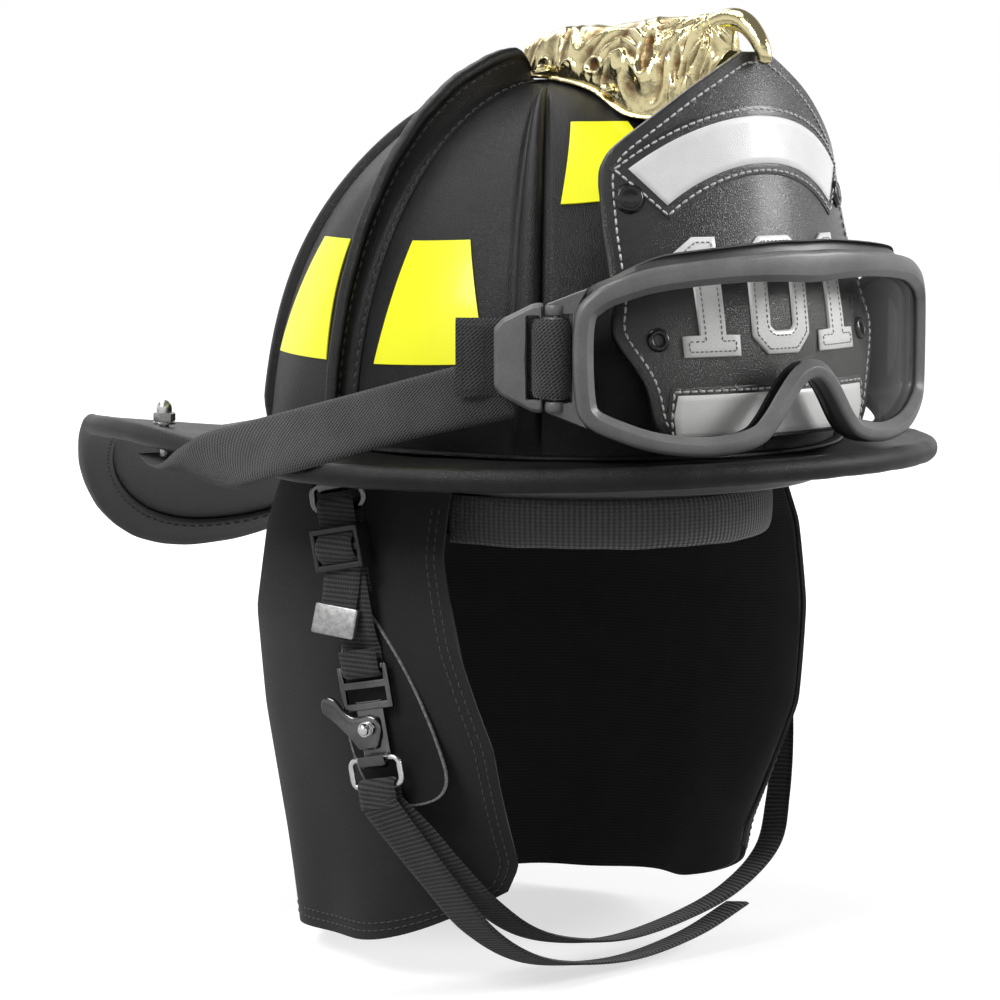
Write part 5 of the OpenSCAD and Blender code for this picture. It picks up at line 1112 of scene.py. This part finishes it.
clip_outline = rounded([[2.6, -15.5], [4.8, -15.5], [4.9, -20.6], [8.5, -20.4], [20.2, -14.6], [23.4, -11],
                        [23.4, 11], [20.2, 14.6], [8.5, 20.4], [4.9, 20.6], [4.8, 15.5], [2.6, 15.5]], 1.2, 4)
clip_hole = rounded([[5.7, -15.6], [11.0, -15.6], [11.0, 15.6], [5.7, 15.6]], 0.8, 4)
plate = holed_plate(clip_outline, clip_hole, 4.4, 1.5)[..., [0, 2, 1]]
barrel = [[1.6, -15.4], [3.6, -15.4], [4.0, -15.0], [4.0, -5.4], [3.7, -5.1], [3.7, -4.3], [4.0, -4.0], [4.0, 4.0],
          [3.7, 4.3], [3.7, 5.1], [4.0, 5.4], [4.0, 15.0], [3.6, 15.4], [1.6, 15.4]]
lug = [[1.55, -1.9], [3.7, -1.9], [4.0, -1.6], [4.0, 1.6], [3.7, 1.9], [1.55, 1.9]]
dark_steel_paint, dark_steel, dark_inputs = material("blackened_steel", Metallic=1.0)
worn_off = dark_steel.noise(60.0, 5.0, 0.6)
link(dark_inputs, "Base Color", worn_off.rise(0.35, 0.75).tint((0.10, 0.10, 0.10), (0.17, 0.17, 0.17)))
link(dark_inputs, "Roughness", 0.12 + worn_off * 0.14)
link(dark_inputs, "Normal", dark_steel.bump(worn_off * 0.00005 + dark_steel.noise(900.0) * 0.00002, 0.5))
steel_paint, steel, steel_inputs = material("bright_steel", Metallic=1.0)
drawn = steel.noise(900.0, 4.0, 0.6)
smear = steel.noise(60.0, 4.0, 0.6)
link(steel_inputs, "Base Color", smear.tint((0.50, 0.50, 0.50), (0.72, 0.72, 0.71)))
link(steel_inputs, "Roughness", 0.16 + smear * 0.16 + drawn * 0.06)
link(steel_inputs, "Normal", steel.bump(drawn * 0.00002 + smear * 0.00006, 0.5))
for hand, side in ((1, "right"), (-1, "left")):
    pieces = [clip_place(plate, hand), clip_place(turned(barrel, (0, 0, 0), (0, 0, 1), 32, (1, 0, 0)), hand)]
    joined("clip_moulding_" + side, pieces, loop=True, sharp=45, body="clip_" + side, paint=frame_paint,
           slot="goggle_grey", stands_for=["strap_clip_" + side])
    lugs = [clip_place(turned(lug, (0, 0, z), (0, 0, 1), 32, (1, 0, 0)), hand) for z in (-18, 18)]
    joined("bracket_lugs_" + side, lugs, loop=True, sharp=45, paint=frame_paint, slot="goggle_grey",
           stands_for=["clip_bracket_" + side])
    cheeks = []
    for high in (-1, 1):
        cheek = rounded(np.array([[-9, 16.3], [3.3, 16.3], [3.5, 20.3], [-9, 25.2], [-13, 26.6], [-11.2, 23.5],
                                  [-9.4, 20]]) * [1, high], 0.9, 4)
        cheek = cheek if high > 0 else cheek[::-1]
        cheeks.append(clip_place(np.stack([
            np.stack([inset(cheek, by)[:, 0], np.full(len(cheek), y), inset(cheek, by)[:, 1]], 1)
            for y, by in ((-2.3, 0.5), (-1.9, 0.1), (1.9, 0.1), (2.3, 0.5))]), hand))
    back = rounded([[-9.2, -2.6], [-6.6, -2.6], [-6.6, 2.2], [-9.2, 2.2]], 0.6, 4)
    z = np.array([-20.4, -20, -10, 10, 20, 20.4])
    squeeze = np.array([0.7, 1, 1, 1, 1, 0.7])[:, None, None]
    post = np.concatenate([(back - [-7.9, 0]) * squeeze + [-7.9, 0],
                           np.broadcast_to(z[:, None, None], (6, len(back), 1))], 2)
    joined("bracket_cheeks_" + side, [clip_place(post, hand), *cheeks], sharp=45, paint=frame_paint)
pin_profile = [[0, 20.7], [0.9, 20.6], [1.4, 20.2], [1.48, 19.8], [1.48, -19.8], [1.4, -20.2], [0.9, -20.6],
               [0, -20.7]]
pins = [clip_place(turned(pin_profile, (0, 0, 0), (0, 0, 1), 24, (1, 0, 0)), hand) for hand in (1, -1)]
joined("clip_pins_steel", pins, loop=True, sharp=45, paint=dark_steel_paint, slot="steel", stands_for=["clip_pins"])

# The goggle elastic: black ribbed elastic 31 mm wide. Each end passes through a clip's slot, folds back and is
# box-sewn to itself; the long runs go back over the brim to bolts at the tail, whose domed nuts are bright steel.
elastic_paint = weave("black_elastic", (0.006, 0.006, 0.006), (0.125, 0.125, 0.125), 0.0016, 0.0012, rough=0.8,
                      slant=0.8, ply=0.2, height=0.0005, sheen=0.2)


def ribbon(path, across, wide, thick, steps=12, cupped=0.0):
    """Sections of a woven strip with soft edges along a path; across is the direction of its width at each point."""
    path = np.asarray(path, float)
    along = unit(np.gradient(path, axis=0))
    across = unit(across - (across * along).sum(1, keepdims=True) * along)
    place = np.linspace(-1, 1, steps)
    edge = np.sqrt(np.clip(1 - np.abs(place) ** 14, 0.0, 1)) * 0.5 + 0.0001
    top = np.stack([place * wide / 2, edge * thick + cupped * (1 - place ** 2)], 1)
    low = np.stack([place * wide / 2, -edge * thick + cupped * (1 - place ** 2)], 1)[::-1]
    return sweep(path, across, np.cross(across, along), np.concatenate([top, low[1:-1]]))


barrel_by = np.radians(np.arange(-90, -281, -19))
loop_path = curve([[15.5, -5.0], [11, -5.05], [5, -5.0],
                   *(4.98 * np.stack([np.cos(barrel_by), np.sin(barrel_by)], 1)), [3.2, 4.5],
                   [5.6, 3.4], [7.4, 1.6], [8.2, -0.4], [9.2, -2.2], [11.6, -3.2], [22, -3.2], [25.5, -2.2],
                   [28.5, -0.5], [31.5, 0.75], [37.8, 1.35]], 5)
loop_path = np.stack([loop_path[:, 0], loop_path[:, 1], 0 * loop_path[:, 0]], 1)
for hand, side in ((1, "right"), (-1, "left")):
    grid = ribbon(loop_path, np.tile([0, 0, 1.0], (len(loop_path), 1)), 29.6, 1.8)
    solid("elastic_loop_weave_" + side, clip_place(grid, hand), sharp=75, body="clip_" + side, paint=elastic_paint,
          slot="elastic", stands_for=["elastic_loop_" + side])
    box = evenly(np.array([[27.5, -12], [35.5, -12], [35.5, 12], [27.5, 12], [27.5, -12]]), 0.8)
    lift = np.interp(box[:, 0], [25.5, 28.5, 31.5, 37.8], [-2.2, -0.5, 0.75, 1.35]) + 0.98
    sewn_box = clip_place(np.stack([box[:, 0], lift, box[:, 1]], 1), hand)
    off = clip_place(np.stack([box[:, 0], lift + 1, box[:, 1]], 1), hand) - sewn_box
    stitches("elastic_box_stitch_" + side, [(sewn_box, off)], 1.9, 1.5, 0.55, thread_black, body="clip_" + side)
strap_rows = np.array([
    [[-95.8, -91.5, 17.8], [-95.8, -89, 42.3]], [[-110, -81, 14.3], [-108, -77, 37.9]],
    [[-124, -66, 9.7], [-119.5, -58, 31.7]], [[-134.5, -49.5, 4.0], [-129, -37, 25.2]],
    [[-148, -31, -3.0], [-138, -11, 17.8]], [[-152.5, -18, -6.5], [-146, 14, 10.9]],
    [[-152.5, -3, -10.5], [-151.5, 32, 6.0]], [[-147.5, 14, -14], [-152.5, 49, -1.5]],
    [[-138.5, 40, -14.5], [-151, 62, -8]], [[-126, 66, -12.5], [-143, 82, -11]],
    [[-114, 88, -10], [-134, 102, -10]], [[-104, 108, -10.5], [-122, 122, -11]]])
low_edge, high_edge = (curve(strap_rows[:, k], 10) for k in (0, 1))
low_edge, high_edge = evenly(low_edge, 2.2, high_edge)
place = np.linspace(0, 1, 14)
across = high_edge - low_edge
out = unit(np.cross(across, np.gradient(low_edge, axis=0)))
face = low_edge[:, None] + across[:, None] * place[None, :, None]
full = (2.0 - 1.3 * np.abs(place * 2 - 1) ** 12)[None, :, None]
ripple = (0.25 * np.sin(np.arange(len(low_edge)) * 0.33)[:, None] * np.sin(place * 3.1)[None])[..., None]
strap = np.concatenate([face + out[:, None] * (full + ripple), (face + out[:, None] * ripple)[:, ::-1]], 1)
for hand, side in ((1, "right"), (-1, "left")):
    run = solid("goggle_elastic_" + side, strap * [hand, 1, 1], sharp=75, body=None, paint=elastic_paint,
                slot="elastic", stands_for=["goggle_strap_" + side])
    "clip_" + side
    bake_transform(run)
bolt_at = brim_top(114.6, 0.75)
bolt_rod = [[0, -17.7], [2.4, -17.5], [3.9, -16.9], [4.7, -15.9], [4.75, -15.3], [4.4, -15.0], [2.0, -15.0],
            [1.97, 5.2], [1.7, 5.5], [0, 5.5]]
nut_parts = (([[2.2, 0.65], [4.6, 0.65], [4.75, 0.8], [4.75, 1.4], [4.6, 1.6], [2.2, 1.6]], 32),
             ([[2.1, 1.65], [4.1, 1.65], [4.6, 2.1], [4.6, 5.0], [4.1, 5.5], [2.1, 5.5]], 6),
             ([[2.3, 5.2], [3.2, 5.2], [3.2, 7.4], [3.05, 8.4], [2.5, 9.5], [1.5, 10.4], [0, 10.75], [0, 9.9],
               [1.2, 9.5], [2.3, 8.0]], 32))
rods, nuts = [], []
for hand in (1, -1):
    rods.append(turned(bolt_rod, bolt_at * [hand, 1, 1], (0, 0, 1), 32, (1, 0, 0)))
    nuts += [turned(profile, bolt_at * [hand, 1, 1], (0, 0, 1), count, (1, 0, 0)) for profile, count in nut_parts]
joined("tail_bolts", rods, loop=True, sharp=40, paint=steel_paint, slot="steel", stands_for=["strap_bolts"])
joined("domed_nuts", nuts, loop=True, sharp=32, paint=steel_paint, slot="steel", stands_for=["acorn_nuts"])

# The chin strap's hardware hangs under the wearer's right side from a steel ring: nylon webbing doubled over the ring
# and held by a moulded slide, then a quick-release hook with a sprung lever, and the ring that the hook holds.
ring_at = np.array([-117.0, -6.0, -13.0])


def chin_place(points, hand=1):
    """Points in the hanging line's frame (outward, forward, up) put in place; hand -1 mirrors them to the left."""
    points = np.asarray(points, float)
    lean, turn = math.radians(11), math.radians(202)
    x, y, z = points[..., 0], points[..., 1], points[..., 2]
    y, z = y * math.cos(lean) - z * math.sin(lean), y * math.sin(lean) + z * math.cos(lean)
    x, y = x * math.cos(turn) - y * math.sin(turn), x * math.sin(turn) + y * math.cos(turn)
    return (np.stack([x, y, z], -1) + ring_at) * [hand, 1, 1]


webbing_wide, webbing_thick = 17, 1.7


def arc(centre, radius, start, end, steps=9):
    """Points of an arc about a centre."""
    t = np.radians(np.linspace(start, end, steps))[:, None]
    return np.asarray(centre) + radius * np.concatenate([np.cos(t), np.sin(t)], 1)


def hoop(wide, high, thick, x, z):
    """Sections of a rectangle of round wire with rounded corners, hanging down from a height."""
    r, half = thick * 1.2, wide / 2
    path = np.concatenate([arc((half - r, -r), r, 90, 0), arc((half - r, r - high), r, 0, -90),
                           arc((r - half, r - high), r, -90, -180), arc((r - half, -r), r, 180, 90)])
    path = evenly(np.concatenate([path, path[:1]]), 1.3)[:-1]
    path = np.stack([0 * path[:, 0] + x, path[:, 0], path[:, 1] + z], 1)
    along = unit(np.roll(path, -1, 0) - np.roll(path, 1, 0))
    out = np.tile([1.0, 0, 0], (len(path), 1))
    t = np.radians(np.arange(0, 360, 30))
    return sweep(path, out, np.cross(along, out), thick / 2 * np.stack([np.cos(t), np.sin(t)], 1))


def strip(path, wide=webbing_wide, thick=webbing_thick):
    """Woven strip along a path in the hanging line's upright plane."""
    path = evenly(curve(path, 6), 1.2)
    path = np.stack([path[:, 0], 0 * path[:, 0], path[:, 1]], 1)
    return ribbon(path, np.tile([0, 1.0, 0], (len(path), 1)), wide, thick)


def block(low, high, round_by):
    """Sections of a box with rounded edges between two corners."""
    low, high = np.asarray(low, float), np.asarray(high, float)
    middle, half = (low + high) / 2, (high - low) / 2
    shape = rounded([[-half[0], -half[1]], [half[0], -half[1]], [half[0], half[1]], [-half[0], half[1]]], round_by, 4)
    t = np.radians([90, 60, 30, 0])
    drop = round_by * (1 - np.cos(t))
    rise = half[2] - round_by * (1 - np.sin(t))
    level = np.concatenate([-rise, rise[::-1]])
    small = 1 - np.concatenate([drop, drop[::-1]])[:, None, None] / half[:2]
    return np.concatenate([shape * small, np.broadcast_to(level[:, None, None], (8, len(shape), 1))], 2) + middle


for hand, side in ((1, "right"), (-1, "left")):
    solid("chin_ring_wire_" + side, chin_place(hoop(23, 10, 3.0, -2.6, 0), hand), loop=True, sharp=60,
          paint=dark_steel_paint, slot="steel", stands_for=["chin_ring_" + side])
upper = [[3.5, -66.0], [3.5, -70], [3.4, -74.4], *arc((1.3, -74.3), 2.2, -20, -160, 5), [-0.8, -70], [-0.9, -66.5],
         [0.9, -60.5],
         [1.3, -50], [1.3, -20], *arc((-2.6, -9.2), 3.9, 0, 180, 9)[1:], [-5.2, -13], [-2.4, -17], [-1.6, -24],
         [-1.6, -44]]
tail_strip = strip([[2.9, -17.5], [3.1, -26], [3.1, -36], [3.2, -43], [4.2, -50], [5.6, -56]])
tail_strip[..., 1] += 0.3 * (tail_strip[..., 2] + 33).clip(None, 0)
joined("upper_webbing_strips", [chin_place(strip(upper)), chin_place(tail_strip)], sharp=75, paint=webbing_paint,
       slot="webbing", stands_for=["upper_webbing"])
slide_low = -33.7
slide = [block((x, -10.6, slide_low + z), (x + 1.9, 10.6, slide_low + z + high), 0.7)
         for x in (-4.8, 4.3) for z, high in ((0, 2.6), (6.8, 3.3), (14.4, 2.6))]
slide += [block((-4.8, y - 0.9, slide_low), (6.2, y + 0.9, slide_low + 17), 0.7) for y in (-9.9, 9.9)]
joined("slide_moulding", [chin_place(grid) for grid in slide], sharp=50, body="slide", paint=plastic_paint,
       slot="black_plastic", stands_for=["slide_buckle"])
over_bar = [[3.4, -17.9], [4.3, -19.9], [6.3, -21.6], [7.4, -23.0], [7.6, -25.2], [7.4, -27.4], [6.3, -28.8],
            [4.3, -30.6], [3.4, -32.6]]
solid("slide_webbing_turn", chin_place(strip(over_bar, 16.8, 1.6)), sharp=75, body="slide", paint=webbing_paint,
      slot="webbing")
tip = block((-1.75, -9.5, -3.2), (1.75, 9.5, 9.0), 0.8)
lean = math.atan2(2.6, 13)
tip = np.stack([tip[..., 0] * math.cos(lean) - tip[..., 2] * math.sin(lean) + 5.6, tip[..., 1],
                tip[..., 0] * math.sin(lean) + tip[..., 2] * math.cos(lean) - 56], -1)
swing = math.atan(0.3)
tip[..., 1:] = np.stack([tip[..., 1] * math.cos(swing) + (tip[..., 2] + 56) * math.sin(swing) - 6.9,
                         (tip[..., 2] + 56) * math.cos(swing) - tip[..., 1] * math.sin(swing) - 56], -1)
tip_paint, tin, tin_inputs = material("crimped_tin", Metallic=1.0)
rubbed = tin.noise(420.0, 5.0, 0.7)
link(tin_inputs, "Base Color", rubbed.rise(0.3, 0.7).tint((0.27, 0.27, 0.27), (0.46, 0.46, 0.455)))
link(tin_inputs, "Roughness", 0.26 + rubbed * 0.2)
link(tin_inputs, "Normal", tin.bump(rubbed * 0.0001, 0.6))
solid("webbing_tip_crimped", chin_place(tip), sharp=50, paint=tip_paint, slot="steel", stands_for=["webbing_tip"])
rails = [block((0.3, y - 1.1, -90), (2.6, y + 1.1, -72), 0.7) for y in (-10.2, 10.2)]
rails += [block((0.3, -10.2, z), (2.6, 10.2, z + high), 0.7) for z, high in ((-90, 3.2), (-81.6, 3.4), (-74.4, 2.4))]
hook = strip([[1.3, -86.5], [1.3, -98], [1.3, -108], *arc((4.3, -109), 3.0, 190, 350, 9), [7.3, -107.6]], 12, 2.0)
joined("hook_frame_plate", [chin_place(grid) for grid in (*rails, hook)], sharp=40, paint=dark_steel_paint,
       slot="dark_steel", stands_for=["hook_frame"])
lever_edge = np.array([[-6.2, -8.4], [2.0, -8.7], [2.7, -6.4], [4.2, -3.6], [5.2, 0], [3.8, 3.8], [0, 5.3],
                       [-4.4, 4.6],
                       [-7.6, 5.4], [-10.6, 8.2], [-13.4, 12.8], [-17, 14.6], [-20.4, 12.6], [-20.6, 8.4],
                       [-15.6, 3.8], [-11.5, -0.8], [-8.4, -4.6]])
lever_edge = evenly(curve(rounded(lever_edge, 1.5, 3), 2), 1.0)
lever = np.stack([np.concatenate([np.full((len(lever_edge), 1), x), inset(lever_edge, by) + [0, -97]], 1)
                  for x, by in ((2.55, 0.5), (2.75, 0.12), (3.0, 0), (3.6, 0), (4.0, 0.25), (4.3, 0.95))])
solid("release_lever_pressing", chin_place(lever), sharp=35, body="lever", paint=dark_steel_paint, slot="dark_steel",
      stands_for=["release_lever"])
rivet = [[0, -0.9], [1.8, -0.8], [2.8, -0.2], [3.0, 0.28], [1.45, 0.3], [1.45, 9.0], [2.0, 9.05], [2.1, 9.4],
         [1.7, 9.9], [0.9, 10.2], [0, 10.25]]
solid("lever_rivet_turned", chin_place(turned(rivet, (0, 0, -97), (1, 0, 0), 32, (0, 1, 0))), loop=True, sharp=45,
      paint=steel_paint, slot="steel", stands_for=["lever_rivet"])
t = np.linspace(0, 6 * np.pi, 140)
coil = np.stack([4.95 + t / (2 * np.pi) * 1.15, 2.6 * np.cos(t), 2.6 * np.sin(t) - 97], 1)
across = np.stack([0 * t, np.cos(t), np.sin(t)], 1)
wire_by = np.radians(np.arange(0, 360, 45))
solid("release_spring_coil", chin_place(sweep(coil, across, np.cross(across, unit(np.gradient(coil, axis=0))),
                                              0.35 * np.stack([np.cos(wire_by), np.sin(wire_by)], 1))),
      sharp=70, paint=steel_paint, slot="steel", stands_for=["release_spring"])
solid("hook_ring_wire", chin_place(hoop(22, 11, 2.4, 4.3, -109)), loop=True, sharp=60, paint=steel_paint,
      slot="steel", stands_for=["hook_ring"])

# The pad behind the hook keeps it off the cheek: a piece of black leather, die-cut and unpainted at its edge, where
# the hide shows raw and lighter.
pad_edge = curve([[-8, -54], [-4, -49], [4, -51], [12, -65], [20, -85], [26, -108], [27, -122], [20, -129],
                  [4, -129], [-10, -118], [-14, -90], [-8, -54]], 8)[:-1]
pad_edge = evenly(np.concatenate([pad_edge, pad_edge[:1]]), 1.5)[:-1]
after = np.roll(pad_edge, -1, 0)
if (after[:, 0] * pad_edge[:, 1] - pad_edge[:, 0] * after[:, 1]).sum() > 0:
    pad_edge = pad_edge[::-1]
hide = [np.concatenate([np.full((len(pad_edge), 1), x), inset(pad_edge, by)], 1)
        for x, by in ((-3.2, 0.5), (-3.05, 0.05), (-2.15, 0.05), (-2.0, 0.5))]
solid("buckle_pad_leather", chin_place(np.stack(hide)), sharp=50, paint=black_leather("pad_leather", 1600.0, 0.6),
      slot="black_leather", stands_for=["buckle_pad"])
edge_paint, raw, raw_inputs = material("raw_edge", Roughness=0.8)
link(raw_inputs, "Base Color",
     raw.noise(700.0, 4.0, 0.7).rise(0.3, 0.7).tint((0.10, 0.10, 0.10), (0.30, 0.30, 0.295)))
cut = np.stack([np.concatenate([np.full((len(pad_edge), 1), x), inset(pad_edge, by)], 1)
                for x, by in ((-3.0, 0.3), (-3.0, -0.15), (-2.1, -0.15), (-1.92, 0.1), (-1.92, 0.75),
                              (-2.2, 0.8))], 1)
solid("pad_cut_edge", chin_place(cut), loop=True, sharp=50, paint=edge_paint)

# Chin webbing: two layers of nylon from the hook ring under the chin; the inner goes on up to the ring on the left,
# and the outer is its loose end.
hook_x, bar_z = 4.3, -120.0
beside = lambda share, y, z: [share * 107, y, z]
end_ring = chin_place([[-1, 0, -20]])[0] * [-1, 1, 1]
routes = (([chin_place([hook_x - 2.3, 0, bar_z - 7]), beside(-0.944, -37, -149), beside(-0.86, -44, -162),
            beside(-0.73, -50, -178),
            beside(-0.533, -52, -193), beside(-0.28, -50, -202), beside(0, -48, -206), beside(0.3, -49, -202),
            beside(0.533, -52, -193), beside(0.748, -50, -179), beside(0.87, -43, -161), beside(0.972, -35, -137),
            beside(1.038, -27, -110), beside(1.075, -19, -80), beside(1.085, -14, -56), end_ring], 2.0),
          ([chin_place([hook_x + 2.3, 0, bar_z - 7]), beside(-1, -38, -151), beside(-0.907, -46, -168),
            beside(-0.767, -53, -188),
            beside(-0.551, -55, -203), beside(-0.28, -53, -211), beside(0.019, -51, -214), beside(0.318, -52, -209),
            beside(0.561, -53, -200)], 1.2))
strips = []
for route, swing in routes:
    share = np.linspace(0, 1, len(route))[:, None]
    width = np.concatenate([0.37 * (1 - swing * share), 0 * share - 0.91, 0 * share + 0.18], 1)
    path, width = evenly(curve(route, 10), 1.6, curve(width, 10))
    far = np.arange(len(path)) * 1.6
    path += (np.stack([0.3 * np.sin(far / 17), 0 * far, 0.35 * np.sin(far / 23 + 1)], 1)
             * np.sin(np.pi * np.linspace(0, 1, len(path)))[:, None])
    strips.append(ribbon(path, width, webbing_wide, webbing_thick))
strips.append(chin_place(strip([[hook_x + 2.3, bar_z - 8.5], [hook_x + 2.3, bar_z - 3],
                                *arc((hook_x, bar_z), 2.3, 0, 180), [hook_x - 2.3, bar_z - 3],
                                [hook_x - 2.3, bar_z - 8.5]])))
strips.append(chin_place(strip([[0.85, -27], [0.85, -20], [1.2, -15], *arc((-2.6, -9.4), 3.8, 0, 180), [-5.2, -15],
                                [-2.85, -19], [-2.85, -27]]), -1))
joined("chin_webbing_strips", strips, sharp=75, paint=webbing_paint, slot="webbing", stands_for=["chin_webbing"])
for node, paint in (("chin_hanger_right", dark_steel_paint), ("chin_hanger_left", dark_steel_paint),
                    ("brim_edge_wire", steel_paint), ("ratchet_pinion", plastic_paint)):
    nodes[node].data.materials.clear()
    nodes[node].data.materials.append(paint)
